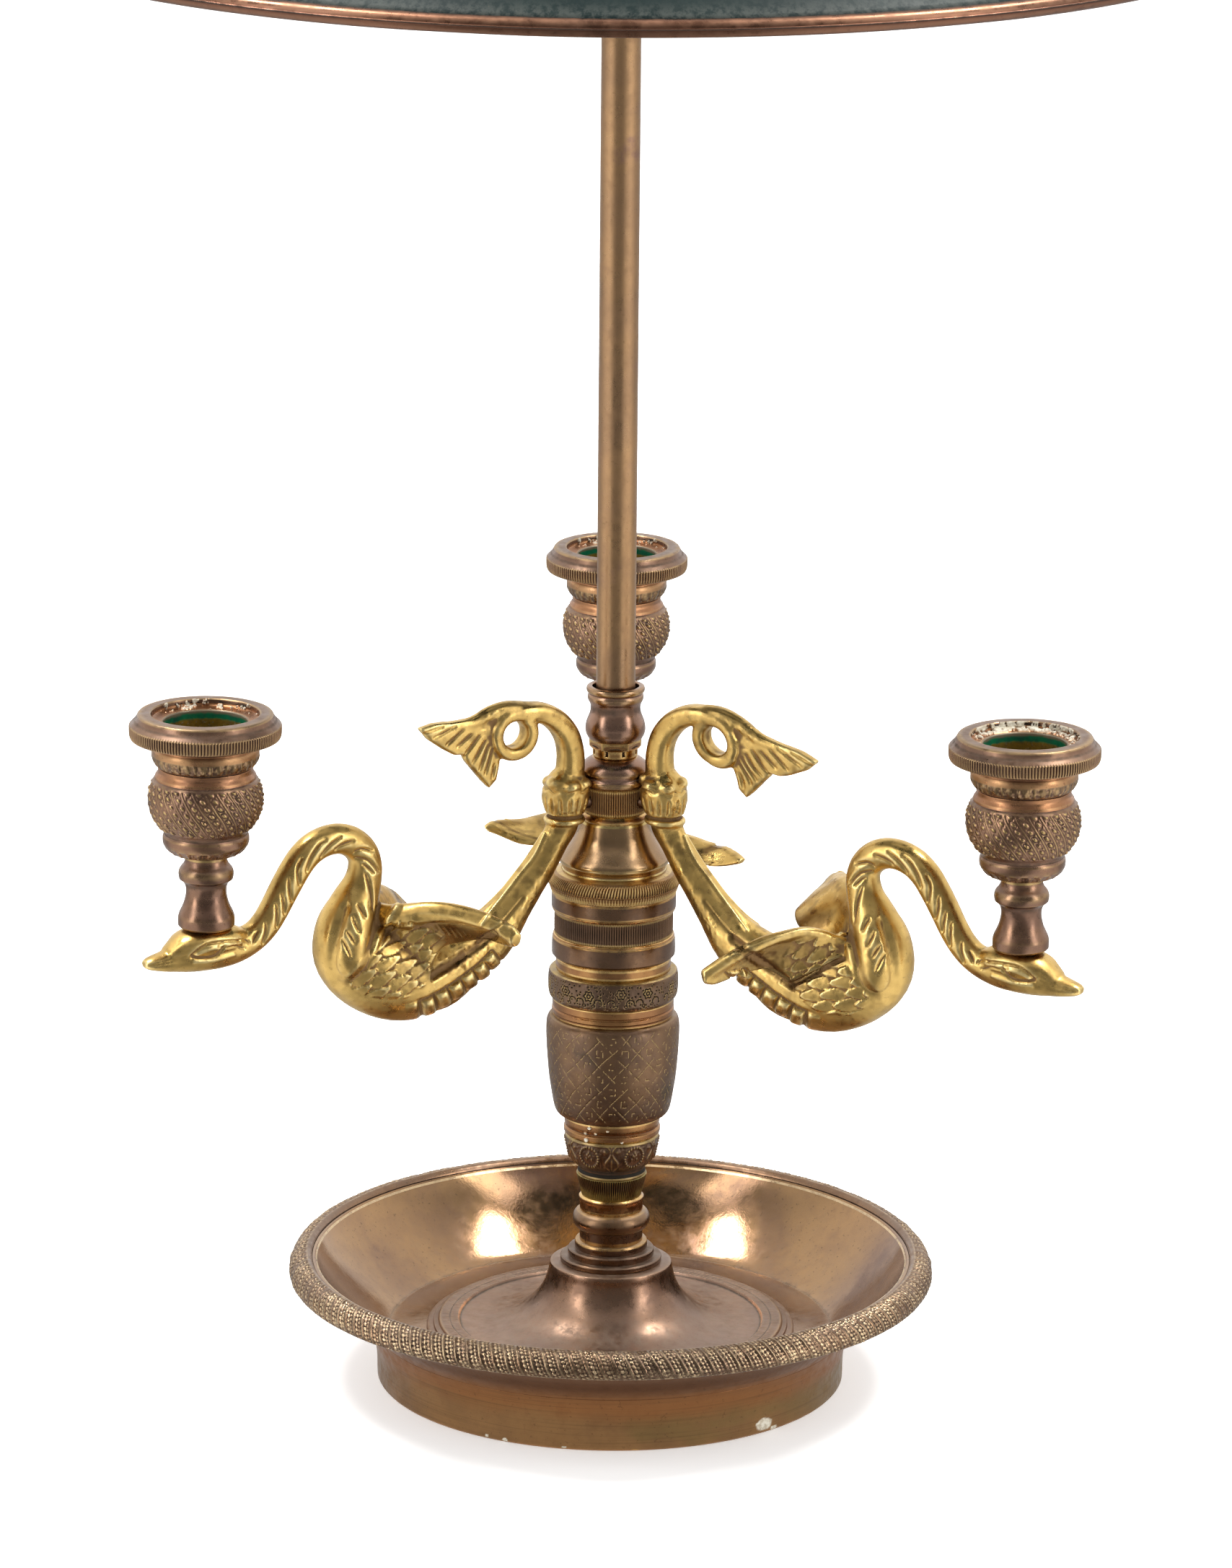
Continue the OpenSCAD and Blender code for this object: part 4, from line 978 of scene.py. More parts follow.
for a, (az, sag) in ARMS.items():
    c = (CUP_R * math.cos(math.radians(az)), CUP_R * math.sin(math.radians(az)))
    z0 = PAD - sag
    done(turned("candle_stem_turned_" + a,
                [(2.3, 0), (6.9, 0), (7.45, 0.55), (7.5, 1.7), (7.45, 3), (7, 4.2), (6, 6.2), (5.4, 8.6), (5.3, 10.2), (5.6, 11.8),
                 (6.4, 12.7), (7.1, 13.2), (7.3, 14.2), (7.25, 15.2), (6.8, 16.2), (5.95, 17.1), (5.5, 18.2), (5.5, 19.6)],
                192, 0.3, lambda s, r, z, t: 0.02 * vnoise(np.cos(t) * 3, np.sin(t) * 3, z / 2, 3), core=2.3, rad=0.2, centre=c, dz=z0),
         "cup", "stand", "patinated_bronze", "candle_stem_" + a)
    zc = z0 + 19.6
    cup = turned("candle_cup_turned_" + a,
                 [(2.3, 0), (5.8, 0), (9, 0.6), (10.9, 2.5), (11.35, 3.5), (11.4, 4.4), (11.35, 5.35), (10.95, 5.95), (11.2, 6.7),
                  (13, 8.6), (14.5, 11.2), (15.2, 14.2), (15.1, 16.8), (14.5, 19.2), (13.75, 20.7), (13.35, 21.0), (13.3, 21.7),
                  (12.6, 22.5), (12.4, 23.2), (12.6, 24.0), (12.3, 24.2), (12.3, 29.7), (11, 29.75), (11, 8.8), (2.3, 8.8)],
                 560, lambda s: 0.24 if 7 < s < 29 else 0.6, cup_disp, core=2.3, rad=0.2, centre=c, dz=zc)
    done(cup, "cup", "stand", "patinated_bronze", "candle_cup_" + a, size=0.4, wide=1.2)
    bore = bore_material("bore_" + a, (zc + 35.8 - TABLE) * MM)
    cup.data.materials.append(bore)
    cup.data.materials.append(M["cup_copper"])
    crumbs = {"left": 0.14, "right": 0.55, "back": 0.15}[a]

    def wax(s, r, z, t, crumbs=crumbs):
        """Crumbs of old wax on the recessed floor, most of it at the back."""
        zone = win(11.4, 14.6, r, 0.5) * (z > 36.1) * (z < 38.2)
        v = vnoise(r * np.cos(t) / 0.9, r * np.sin(t) / 0.9, z / 0.9, 51) + 0.4 * vnoise(r * np.cos(t) / 0.4, r * np.sin(t) / 0.4, z / 0.4, 52)
        return zone * ss(0.0, 0.25, v + 1.5 * (crumbs - 0.75 + 0.45 * np.sin(t)))

    drip = turned("drip_ring_turned_" + a,
                  [(12.4, 29.95), (12.4, 24.45), (12.75, 24.4), (13.2, 24.8), (14.05, 26.3), (14.15, 27.6), (14.1, 28.8), (13.6, 29.8),
                   (14.2, 30.3), (16.5, 30.9), (18.6, 31.4), (19.6, 31.8), (20, 32.6), (20, 35.1), (19.5, 35.6), (18.6, 36.5),
                   (18.0, 37.5), (17.75, 38.1), (17.3, 38.4), (14.5, 38.4), (14.2, 38.1), (14.05, 36.8), (13.3, 36.4), (11.3, 36.2),
                   (11, 35.9), (11, 29.95)],
                  150 * 8, 0.34, lambda s, r, z, t: drip_disp(s, r, z, t) + 0.5 * wax(s, r, z, t), core=11.0, rad=0.2,
                  centre=c, dz=zc, marks={"wax": wax, "tone": band_tone})
    done(drip, "drip", "drip_ring_" + a, "patinated_bronze", "drip_ring_" + a, size=0.4, wide=1.2)
    drip.data.materials.append(bore)
    drip.data.materials.append(M["cup_copper"])
    for ob in (cup, drip):
        # the faces of the bore take their own finish
        me = ob.data
        cen = np.zeros(len(me.polygons) * 3, np.float32)
        me.polygons.foreach_get("center", cen)
        cen = cen.reshape(-1, 3) / MM
        rr = np.hypot(cen[:, 0] - c[0], cen[:, 1] - c[1])
        zz = cen[:, 2] - zc + TABLE
        kind = ((rr < 11.25) & (zz > 8) & (zz < 36.1)).astype(np.int32)
        if ob == drip:
            kind[(rr > 12.6) & (zz > 27.6) & (zz < 30.1)] = 2
            kind[(rr > 11.3) & (rr < 14.1) & (zz > 36.1) & (zz < 37.4)] = 2
        else:
            kind[(rr > 12.0) & (zz > 21.1) & (zz < 24.15)] = 2
        me.polygons.foreach_set("material_index", kind)
        me.update()

# ---------------------------------------------------------------- swans
def crom(P, n):
    """Smooth curve through stations, n steps between each two."""
    P = np.asarray(P, float)
    out = []
    for i in range(len(P) - 1):
        a, b, c, d = P[max(i - 1, 0)], P[i], P[i + 1], P[min(i + 2, len(P) - 1)]
        for j in range(n):
            t = j / n
            out.append(0.5 * (2 * b + (c - a) * t + (2 * a - 5 * b + 4 * c - d) * t * t + (3 * b - a - 3 * c + d) * t**3))
    out.append(P[-1])
    return np.array(out)


# Carving is laid out on the arm's middle plane and carried to the surface
# along one slanting direction, the same on both sides of the bird.
def lay(r, w, z):
    w = np.abs(w)
    return r - w * (1060 - r) / 1832, z - w * (758 - z) / 1832


def unlay(ra, za, w):
    s = w / 1836
    return ra + s * (1060 - ra), w, za + s * (758 - za)


def pline(x, y, P, n=4):
    """Distance, signed distance (left +) and share of the length at which
    (x, y) lies nearest to a curve."""
    C = crom(P, n)[:, :2] if n > 1 else np.asarray(P, float)
    seg = np.linalg.norm(np.diff(C, axis=0), axis=1)
    cum = np.r_[0, np.cumsum(seg)]
    best = np.full(x.shape, 1e9)
    sd = np.zeros(x.shape)
    at = np.zeros(x.shape)
    for i in range(len(seg)):
        a, b = C[i], C[i + 1]
        ux, uy = (b - a) / max(seg[i], 1e-9)
        px, py = x - a[0], y - a[1]
        t = np.clip(px * ux + py * uy, 0, seg[i])
        dx, dy = px - t * ux, py - t * uy
        d = np.hypot(dx, dy)
        m = d < best
        best = np.where(m, d, best)
        sd = np.where(m, d * np.sign(ux * py - uy * px), sd)
        at = np.where(m, (cum[i] + t) / cum[-1], at)
    return best, sd, at


def inside(x, y, P, e=0.6):
    """1 inside a closed outline, 0 outside, with a soft edge."""
    P = np.asarray(P, float)
    odd = np.zeros(x.shape, bool)
    for i in range(len(P)):
        (x1, y1), (x2, y2) = P[i - 1], P[i]
        hit = ((y1 > y) != (y2 > y)) & (x < (x2 - x1) * (y - y1) / (y2 - y1 + 1e-12) + x1)
        odd ^= hit
    d = pline(x, y, np.vstack([P, P[:1]]), 1)[0]
    return ss(-e, e, np.where(odd, d, -d))


class Clay:
    """Collects closed solids, then merges them into one skin."""

    def __init__(self):
        self.v, self.q, self.t, self.n = [], [], [], 0

    def add(self, v, q, t):
        self.v.append(v)
        if len(q):
            self.q.append(np.asarray(q) + self.n)
        if len(t):
            self.t.append(np.asarray(t) + self.n)
        self.n += len(v)

    def rings(self, R):
        """R: rings x points x 3, closed with a cap at both ends."""
        k, m, _ = R.shape
        j, i = np.arange(k - 1)[:, None], np.arange(m)[None, :]
        q = np.stack([j * m + i, j * m + (i + 1) % m, (j + 1) * m + (i + 1) % m, (j + 1) * m + i], -1).reshape(-1, 4)
        v = np.vstack([R.reshape(-1, 3), R[0].mean(0), R[-1].mean(0)])
        a, b = k * m, k * m + 1
        i = np.arange(m)
        t = np.vstack([np.stack([(i + 1) % m, i, np.full(m, a)], 1),
                       np.stack([(k - 1) * m + i, (k - 1) * m + (i + 1) % m, np.full(m, b)], 1)])
        self.add(v, q, t)

    def tube(self, P, m=48, sub=4, e=2.0, w0=0.0):
        """Stations r, z, half thickness in the plane, half width across."""
        P = crom(P, sub)
        t = np.gradient(P[:, :2], axis=0)
        t /= np.linalg.norm(t, axis=1)[:, None]
        f = np.arange(m) * TAU / m
        ex = 2.0 / (P[:, 4:5] if P.shape[1] > 4 else e)
        C = np.sign(np.cos(f)) * np.abs(np.cos(f)) ** ex
        S = np.sign(np.sin(f)) * np.abs(np.sin(f)) ** ex
        self.rings(np.stack([P[:, :1] - t[:, 1:2] * P[:, 2:3] * C, w0 + P[:, 3:4] * S, P[:, 1:2] + t[:, :1] * P[:, 2:3] * C], -1))

    def blob(self, c, axes, yaw=0.0, pitch=0.0, e=2.0):
        k, m = 12, 20
        a = np.linspace(-math.pi / 2 + 0.12, math.pi / 2 - 0.12, k)
        f = np.arange(m) * TAU / m
        p = lambda v: np.sign(v) * np.abs(v) ** (2 / e)
        X = axes[0] * p(np.cos(a))[:, None] * p(np.cos(f))[None]
        Y = axes[1] * p(np.cos(a))[:, None] * p(np.sin(f))[None]
        Z = axes[2] * p(np.sin(a))[:, None] * np.ones(m)[None]
        cp, sp = math.cos(pitch), math.sin(pitch)
        X, Z = X * cp - Z * sp, X * sp + Z * cp
        cy, sy = math.cos(yaw), math.sin(yaw)
        X, Y = X * cy - Y * sy, X * sy + Y * cy
        self.rings(np.stack([X + c[0], Y + c[1], Z + c[2]], -1))

    def wing(self, W, side, nv=44):
        W = crom(W, 6)
        L = np.stack(unlay(W[:, 0], W[:, 1], W[:, 2]), 1)
        T = np.stack(unlay(W[:, 3], W[:, 4], W[:, 5]), 1)
        c = T - L
        ln = np.linalg.norm(c, axis=1)[:, None]
        sp = np.gradient((L + T) / 2, axis=0)
        n = np.cross(c, sp)
        n /= np.linalg.norm(n, axis=1)[:, None]
        n *= np.sign(n[:, 1:2])
        v = (1 - np.cos(np.linspace(0, math.pi, nv))) / 2
        x = v[None] * ln
        rho, tb, hol = W[:, 6:7], W[:, 7:8], W[:, 8:9]
        rho = np.minimum(rho, ln * 0.45)
        t = np.where(x < rho, rho * np.sqrt(np.clip(1 - ((rho - x) / rho) ** 2, 0, 1)), tb + (rho - tb) * (1 - ss(1.15 * rho, 2.6 * rho, x)))
        y = x - (ln - tb)
        t = np.where(y > 0, tb * np.sqrt(np.clip(1 - (y / tb) ** 2, 0, 1)), t)
        mid = L[:, None] + c[:, None] * v[None, :, None]
        off = np.maximum(t - tb, 0) * 0.7 - hol * np.sin(math.pi * v[None] ** 0.7)
        mid = mid + n[:, None] * off[..., None]
        A = mid + n[:, None] * t[..., None]
        B = mid - n[:, None] * t[..., None]
        R = np.concatenate([A, B[:, ::-1][:, 1:-1]], 1)
        R[..., 1] *= side
        self.rings(R)

    def merged(self, size):
        me = bpy.data.meshes.new("clay")
        v = np.vstack(self.v)
        q = np.vstack(self.q).astype(np.int32)
        t = np.vstack(self.t).astype(np.int32)
        me.vertices.add(len(v))
        me.vertices.foreach_set("co", v.astype(np.float32).ravel())
        me.loops.add(q.size + t.size)
        me.loops.foreach_set("vertex_index", np.concatenate([q.ravel(), t.ravel()]))
        me.polygons.add(len(q) + len(t))
        me.polygons.foreach_set("loop_start", np.concatenate([np.arange(len(q)) * 4, q.size + np.arange(len(t)) * 3]).astype(np.int32))
        me.update(calc_edges=True)
        ob = bpy.data.objects.new("clay", me)
        bpy.context.scene.collection.objects.link(ob)
        mod = ob.modifiers.new("skin", "REMESH")
        mod.mode = "VOXEL"
        mod.voxel_size = size
        mod.adaptivity = 0
        dg = bpy.context.evaluated_depsgraph_get()
        out = ob.evaluated_get(dg).to_mesh()
        co = np.zeros(len(out.vertices) * 3, np.float32)
        out.vertices.foreach_get("co", co)
        f = np.zeros(len(out.loops), np.int32)
        out.loops.foreach_get("vertex_index", f)
        co, f = co.reshape(-1, 3).astype(float), f.reshape(-1, 4)
        ob.evaluated_get(dg).to_mesh_clear()
        bpy.data.objects.remove(ob)
        bpy.data.meshes.remove(me)
        return co, f


BODY = [[14, 174.6, 3.0, 3.2, 2], [14.5, 173.6, 4.7, 4.7, 2.2], [15, 171, 6.1, 6.1, 2.2], [15.3, 167.5, 6.2, 6.2, 2.2],
        [15.5, 163.9, 5.2, 5.1, 2.1], [15.7, 162.4, 4.3, 4.3, 2], [16.4, 160, 4.4, 4.1, 1.8], [18.9, 156, 4.2, 4.0, 1.65],
        [22.9, 150, 4.6, 4.2, 1.6], [27, 145, 5, 4.6, 1.6], [31.5, 139.6, 5.7, 5.2, 1.65], [38, 132.8, 7.4, 6.4, 1.8],
        [46, 128.3, 8.5, 8.1, 2], [55, 125.4, 10.8, 9.8, 2.15], [65, 125.4, 12.3, 10.9, 2.2], [73.5, 128.8, 12.4, 10.7, 2.2],
        [79.6, 134.2, 11.4, 9.8, 2.15], [81.2, 140.8, 9.2, 8.0, 2.1], [79.4, 147.2, 6.8, 6.2, 2], [77.1, 152.6, 5.2, 5.0, 2],
        [76.3, 157.2, 4.6, 4.5, 2], [77.2, 161, 4.3, 4.3, 2], [79.9, 164, 4.2, 4.2, 2], [83.5, 165.6, 4.1, 4.1, 2],
        [87.5, 165.7, 4.1, 4.1, 2], [91.6, 164.4, 4.1, 4.1, 2], [95, 161.8, 4.1, 4.1, 2], [98, 157.9, 4.1, 4.1, 2],
        [100.8, 153.5, 4.05, 4.1, 2], [103.3, 149.3, 3.95, 4.1, 2], [106, 145.5, 3.9, 4.1, 2], [109.3, 142.6, 3.95, 4.2, 2],
        [113.5, 140.9, 4.3, 4.7, 2], [118, 140.3, 4.7, 5.3, 2.1], [123, 140.1, 4.8, 5.5, 2.1], [128, 139.8, 4.4, 5.0, 2.1],
        [132.2, 139.6, 3.7, 4.1, 2.1], [135.4, 139.3, 2.9, 3.5, 2.2], [138.4, 139.2, 2.2, 3.0, 2.2], [140.6, 139.2, 1.6, 2.4, 2.2],
        [141.9, 139.2, 0.9, 1.5, 2.2]]

CURL = [[14.4, 172, 3.8, 3.9, 2.2], [13.9, 176, 3.75, 3.8, 2.4], [13.9, 180.5, 3.5, 3.7, 2.6], [15.2, 185.4, 3.3, 3.6, 2.8],
        [18.3, 189.6, 3.1, 3.5, 3], [22.6, 192.3, 2.85, 3.5, 3], [27.5, 193.3, 2.5, 3.5, 3.2]] + [
    [32 + 5.4 * math.cos(math.radians(90 - k * 29)), 187.9 + 5.4 * math.sin(math.radians(90 - k * 29)), 1.85, 3.3, 3.4]
    for k in range(12)]

# leading edge, trailing edge (both on the layout plane, with their true
# distance from it), edge radius, blade half thickness, hollow
WING_L = [[73.5, 146.6, 2, 60, 121, 7.5, 2.6, 1.6, 0], [69.8, 145.3, 6.5, 56.5, 124.5, 10, 2.9, 1.4, 0.3],
          [63, 144.5, 12, 55.4, 129, 10, 3.1, 1.25, 1.2], [56.5, 143.5, 17, 52, 131.9, 9.5, 3.05, 1.15, 1.5],
          [49.3, 141.5, 22, 46, 132.4, 10.5, 2.8, 1.1, 1.5], [42, 138.7, 27, 39.4, 132.2, 15, 2.5, 1.1, 1.0],
          [36.6, 136.1, 30.5, 35.4, 130.6, 20, 2.25, 1.15, 0.6], [32.4, 134.0, 32.8, 31.8, 128.9, 28, 2.1, 1.25, 0.2],
          [29.4, 131.6, 34.2, 30.6, 128.2, 33, 1.7, 1.4, 0]]
WING_R = [[72.5, 139.5, 3, 71, 134.5, 7.5, 1.3, 1.4, 0], [69.7, 140.1, 5.5, 64.8, 130.2, 10.5, 1.4, 1.4, 0.2],
          [64.6, 141.0, 10, 60, 126.9, 11.5, 1.55, 1.35, 0.8], [58.6, 140.4, 15, 55.6, 124.2, 12, 1.6, 1.35, 1.3],
          [53.1, 138.1, 19.5, 51.6, 125.8, 13.5, 1.65, 1.3, 1.4], [48.5, 135.9, 23, 47, 127.2, 16, 1.7, 1.3, 1.1],
          [43, 132.9, 26.5, 42, 125.6, 20, 1.7, 1.3, 0.8], [36, 128.7, 30.3, 36.3, 122.7, 25, 1.7, 1.35, 0.4],
          [30.5, 124.9, 32.7, 31, 119.8, 30, 1.6, 1.4, 0.1], [27.4, 122.9, 33.6, 28.2, 119.3, 33.2, 1.4, 1.4, 0]]

FAN = [(36, 192.5), (38.6, 194.9), (41.5, 194.7), (45.3, 193.6), (50, 193.5), (56, 193.7), (60.4, 192.8), (57.6, 189.4), (52.9, 186.1),
       (49.8, 184.3), (47.4, 184.1), (46.1, 181.8), (43.6, 178.8), (41.2, 175.9), (39.2, 173.9), (37, 175.8), (36, 180.5), (36.0, 184.2)]


def swan_clay():
    c = Clay()
    c.tube(BODY, 56, 5)
    c.tube(CURL, 32, 5)
    c.wing(WING_L, 1)
    c.wing(WING_R, -1)
    # pad under the candle and the brow that carries it
    c.tube([[112.5, 142.4, 2.2, 3.2], [116.5, 143.3, 3.4, 5.6], [120.5, 143.5, 3.9, 6.5], [125, 143.4, 3.9, 6.5], [129.3, 143.0, 3.6, 5.8],
            [132.2, 141.6, 3.1, 4.6], [134.6, 140.4, 2.4, 3.6]], 40, 4, 2.3)
    # fan
    F, ctr = np.array(FAN, float), np.array([41.8, 187.8])
    n = len(F)
    R = []
    for w, k in ((-1.1, 1.0), (-1.6, 0.9), (-1.75, 0.45), (-1.8, 0.02)):
        P = ctr + (F - ctr) * k
        R.append(np.c_[P[:, 0], np.full(n, w), P[:, 1]])
    R = np.array(R[::-1] + [r * [1, -1, 1] for r in R])
    c.rings(R)
    c.tube([[27, 194, 2.0, 2.9], [33, 195.0, 2.0, 2.7], [38.4, 194.2, 2.1, 2.3], [43.5, 192.3, 1.9, 2.0], [49, 191.8, 1.6, 1.75],
            [54.5, 192.0, 1.3, 1.45], [59.2, 192.0, 0.7, 1.0]], 24, 4)
    c.tube([[36.8, 194, 1.5, 2.4], [37.3, 189, 1.5, 2.5], [36.6, 184, 1.2, 2.1]], 20, 4)
    # leaf collar: beads at the top, ring below
    for k in range(6):
        a = TAU * (k + 0.25) / 6
        c.blob((14.9 + 4.5 * math.cos(a), 4.5 * math.sin(a), 172.2 + 0.5 * math.sin(2 * a + 1)), (2.4, 2.7, 1.85), yaw=a)
    f = np.arange(40) * TAU / 40
    g = np.arange(12) * TAU / 12
    ringR = []
    for a in f:
        ringR.append(np.stack([15.6 + (4.75 + 0.95 * np.cos(g)) * math.cos(a), (4.75 + 0.95 * np.cos(g)) * math.sin(a), 162.0 + 0.9 * np.sin(g) + 0 * g], 1))
    ringR.append(ringR[0])
    c.rings(np.array(ringR))
    return c


BEADS = [(34.6, 127.6), (37.6, 125.2), (40.6, 122.8), (44.4, 120.7), (48.3, 118.6), (52.4, 116.8), (56.9, 115.2), (61.6, 114.5)]
GROOVES = [[(79.5, 164.5), (82.5, 163.9), (85.2, 162.6)], [(83.5, 166.2), (86.8, 164), (89.5, 161.1)],
           [(87.8, 166.0), (90, 164.7), (92.4, 161.3), (93.6, 157.9)], [(95.1, 162.1), (96.4, 159.2), (95.6, 154.4)],
           [(99.2, 156.8), (98.7, 153.4), (97.9, 150.3)], [(101.4, 152.9), (100.4, 149.9), (100.2, 147.1)],
           [(103.2, 150.3), (102.5, 147.4), (102.6, 143.7)], [(106.2, 145.6), (105.8, 143.2), (106.8, 139.8)],
           [(108.3, 143.8), (109.1, 142), (109.6, 140.4)], [(73.7, 160.9), (77.1, 161.8), (79.6, 161.2)],
           [(79.1, 159.7), (75, 158.2), (71.9, 155)], [(77, 157.6), (75.2, 156.4), (73.5, 154.7)],
           [(76.3, 155.1), (74.5, 150.2), (74.2, 144.5)], [(78.6, 146.9), (77.6, 145), (76.8, 142.9)],
           [(80.3, 143.7), (79.4, 141.5), (78.3, 139.1)], [(81.9, 139.9), (80.7, 138.2), (79.6, 136.2)],
           [(83.1, 137.7), (81.8, 135.2), (80.6, 132.6)]]
RIBS_IN = [(52.9, 192.2), (49.1, 191.8), (46.6, 190.7), (44.1, 189.2), (41.6, 188.5), (39.9, 186.8), (39, 185.5), (37.8, 184.2), (36.9, 179.9)]
RIBS_OUT = [(58.3, 191.2), (55.4, 189.5), (51.6, 187.1), (48.3, 186.3), (46.2, 183.4), (43.6, 181.2), (41.5, 179), (39.8, 177.6), (37.7, 176.2)]
PLUMES_L = [(66, 140.3), (69.4, 137.3), (71.3, 134.3), (73.7, 131.5), (77, 128.5), (81, 126), (79.5, 123), (75, 120.9), (70, 119.7),
            (64, 119.1), (60, 120.6), (57.5, 122.2), (55.6, 124.6), (55.1, 129), (53.2, 132), (52.6, 134.6), (56.5, 137.4), (61.5, 139.6)]
PLUMES_R = [(70.4, 134.3), (73.6, 129.4), (77, 126.6), (80, 123.6), (73.5, 119.2), (65.5, 118), (61.8, 118.4), (58.5, 120.4),
            (55.4, 123.5), (59.8, 126.9), (64.4, 130.0)]
QUILLS_R = [(52.3, 130.8), (52.6, 127.3), (56, 125.2), (60, 127.8), (64.6, 130.8), (70.2, 134.6), (69.2, 136.6), (65, 138.2), (59.5, 138), (55, 135.5)]


def plumes(x, y, ax, length, wide, seed, bend=0.0):
    """Overlapping rounded feathers that point along ax; mm of height."""
    u = x * ax[0] + y * ax[1]
    v = -x * ax[1] + y * ax[0] + bend * u * u * 0.01
    best = np.zeros(x.shape)
    i0 = np.floor(u / length).astype(np.int64)
    j0 = np.round(v / wide).astype(np.int64)
    for dj in (-1, 0, 1):
        j = j0 + dj
        for di in (-2, -1, 0, 1):
            i = i0 + di
            jit = hash3(i, j, seed, 1)
            jit2 = hash3(i, j, seed, 2)
            lu = (u - (i + 0.5 * (j % 2) + 0.22 * (jit - 0.5)) * length) / (length * (1.45 + 0.25 * jit2))
            lv = (v - (j + 0.16 * (jit2 - 0.5)) * wide) / (wide * 0.62)
            edge = 1 - 0.5 * np.abs(lv) ** 2.2
            on = (lu > 0) & (lu < edge) & (np.abs(lv) < 1)
            h = (0.30 + 0.70 * lu / np.maximum(edge, 0.2) - 0.30 * lv**2) * (0.85 + 0.3 * jit)
            best = np.where(on, np.maximum(best, h), best)
    return best


def carve(co, no):
    """Depth of all carving at each point of the master bird."""
    r, w, z = co.T
    x, y = lay(r, w, z)
    side = np.sign(w)
    face = no[:, 0] * 0.47 + no[:, 1] * side * 0.83 + no[:, 2] * 0.28
    f0 = ss(-0.05, 0.3, face)
    d = np.zeros(len(co))
    neck = (r > 70) & (r < 112) & (z > 128)
    for k, g in enumerate(GROOVES):
        m = neck & (np.abs(x - g[1][0]) < 14) & (np.abs(y - g[1][1]) < 14)
        dd, sd, at = pline(x[m], y[m], g, 5)
        leaf = 0.35 + 0.65 * np.sqrt(np.clip(np.sin(math.pi * np.clip(at, 0.01, 0.99)), 0, 1))
        end = ((at > 0.001) & (at < 0.999)) | (dd < 0.3)
        c = soft(dd, 0.62 * leaf + 0.1) * 0.62 * leaf + 0.2 * soft(dd, 1.5)
        d[m] -= c * end * f0[m]
    # raised lobe where the neck runs down on to the breast
    body = (r > 48) & (r < 96) & (z < 158) & (z > 105)
    xb, yb, fb = x[body], y[body], f0[body]
    t = np.zeros(body.sum())
    dd, sd, at = pline(xb, yb, [(76, 153), (76.8, 146), (78.3, 140.5), (79.6, 135.5), (80.2, 131.8)])
    t += 1.25 * np.clip(1 - (dd / 5.0) ** 2, 0, 1) ** 0.8 * ss(0.05, 0.5, at)
    dd, _, at = pline(xb, yb, [(71.5, 147), (73.6, 140), (75, 134.5), (77.4, 129.3), (81.5, 125.6)])
    t -= 0.55 * soft(dd, 2.4) * ss(0.0, 0.3, at) * (1 - ss(0.7, 0.98, at))
    dd, _, at = pline(xb, yb, [(82.3, 146), (85.2, 138), (86.2, 131), (84.6, 125.8)])
    t -= 0.45 * soft(dd, 2.6)
    # shoulder ridge in front of the plumes
    left = w[body] > 0
    dd, _, at = pline(xb, yb, [(66.5, 144.3), (70, 140.3), (72.2, 136.6), (74.4, 133.2), (77.8, 130), (82, 127.2)])
    t += np.where(left, 0.9, 0.45) * soft(dd, 2.0) * (1 - 0.7 * at)
    d[body] += t * fb
    # plumes
    wing_out = (r > 40) & (r < 96) & (z > 108) & (z < 152)
    m = wing_out & (w > 0.5)
    ax = np.array([-0.93, 0.37])
    pm = inside(x[m], y[m], PLUMES_L, 0.5)
    pl = plumes(x[m], y[m], ax, 6.8, 3.1, 3, 0.0)
    d[m] += pm * f0[m] * (1.7 * pl - 1.05)
    m = wing_out & (w < -0.5)
    pm = inside(x[m], y[m], PLUMES_R, 0.45)
    pl = plumes(x[m], y[m], np.array([-0.97, -0.22]), 6.4, 3.0, 5)
    d[m] += pm * f0[m] * (1.6 * pl - 0.95)
    qm = inside(x[m], y[m], QUILLS_R, 0.45)
    pl = plumes(x[m], y[m], np.array([-0.8, -0.6]), 7.5, 3.0, 9)
    d[m] += qm * f0[m] * (1.7 * pl - 1.1)
    # crease under the right wing's root
    dd, _, at = pline(x[m], y[m], [(55.4, 124), (59.8, 127.1), (64.4, 130.1), (70.6, 134.2)])
    d[m] -= 0.9 * soft(dd, 0.9) * f0[m]
    # the hollow below the left wing's rolled edge, finely hatched outwards
    m = (r > 46) & (r < 72) & (z > 124) & (w > 12)
    dd, sd, at = pline(x[m], y[m], [(60.5, 140.6), (55, 139.6), (49, 137.6), (43, 135), (37.5, 132.4)])
    d[m] -= 0.35 * soft(dd, 1.6) * f0[m]
    hat = soft(near((x[m] * 0.8 - y[m] * 0.6) / 1.15), 0.3)
    hm = inside(x[m], y[m], [(56, 138.5), (50, 136.5), (43, 133.6), (38, 131.6), (40, 132), (48, 132.6), (54, 131.6)], 0.6)
    d[m] -= 0.14 * hat * hm * f0[m]
    # flank of the tail
    m = (r < 62) & (r > 12) & (z < 162)
    dd, _, at = pline(x[m], y[m], [(55.5, 123.8), (49.5, 126.6), (43.8, 129.3), (37.5, 132.6)])
    d[m] -= 1.0 * soft(dd, 2.3) * f0[m] * (1 - 0.5 * at)
    dd, _, at = pline(x[m], y[m], [(41, 136.2), (33.8, 143.6), (29.3, 148.4), (24.8, 153), (21.8, 158.6)])
    d[m] += 0.4 * soft(dd, 0.9) * f0[m]
    dd, _, at = pline(x[m], y[m], [(28.3, 141.6), (35, 135.4), (42.0, 131.3)])
    d[m] -= 0.25 * soft(dd, 0.8) * f0[m]
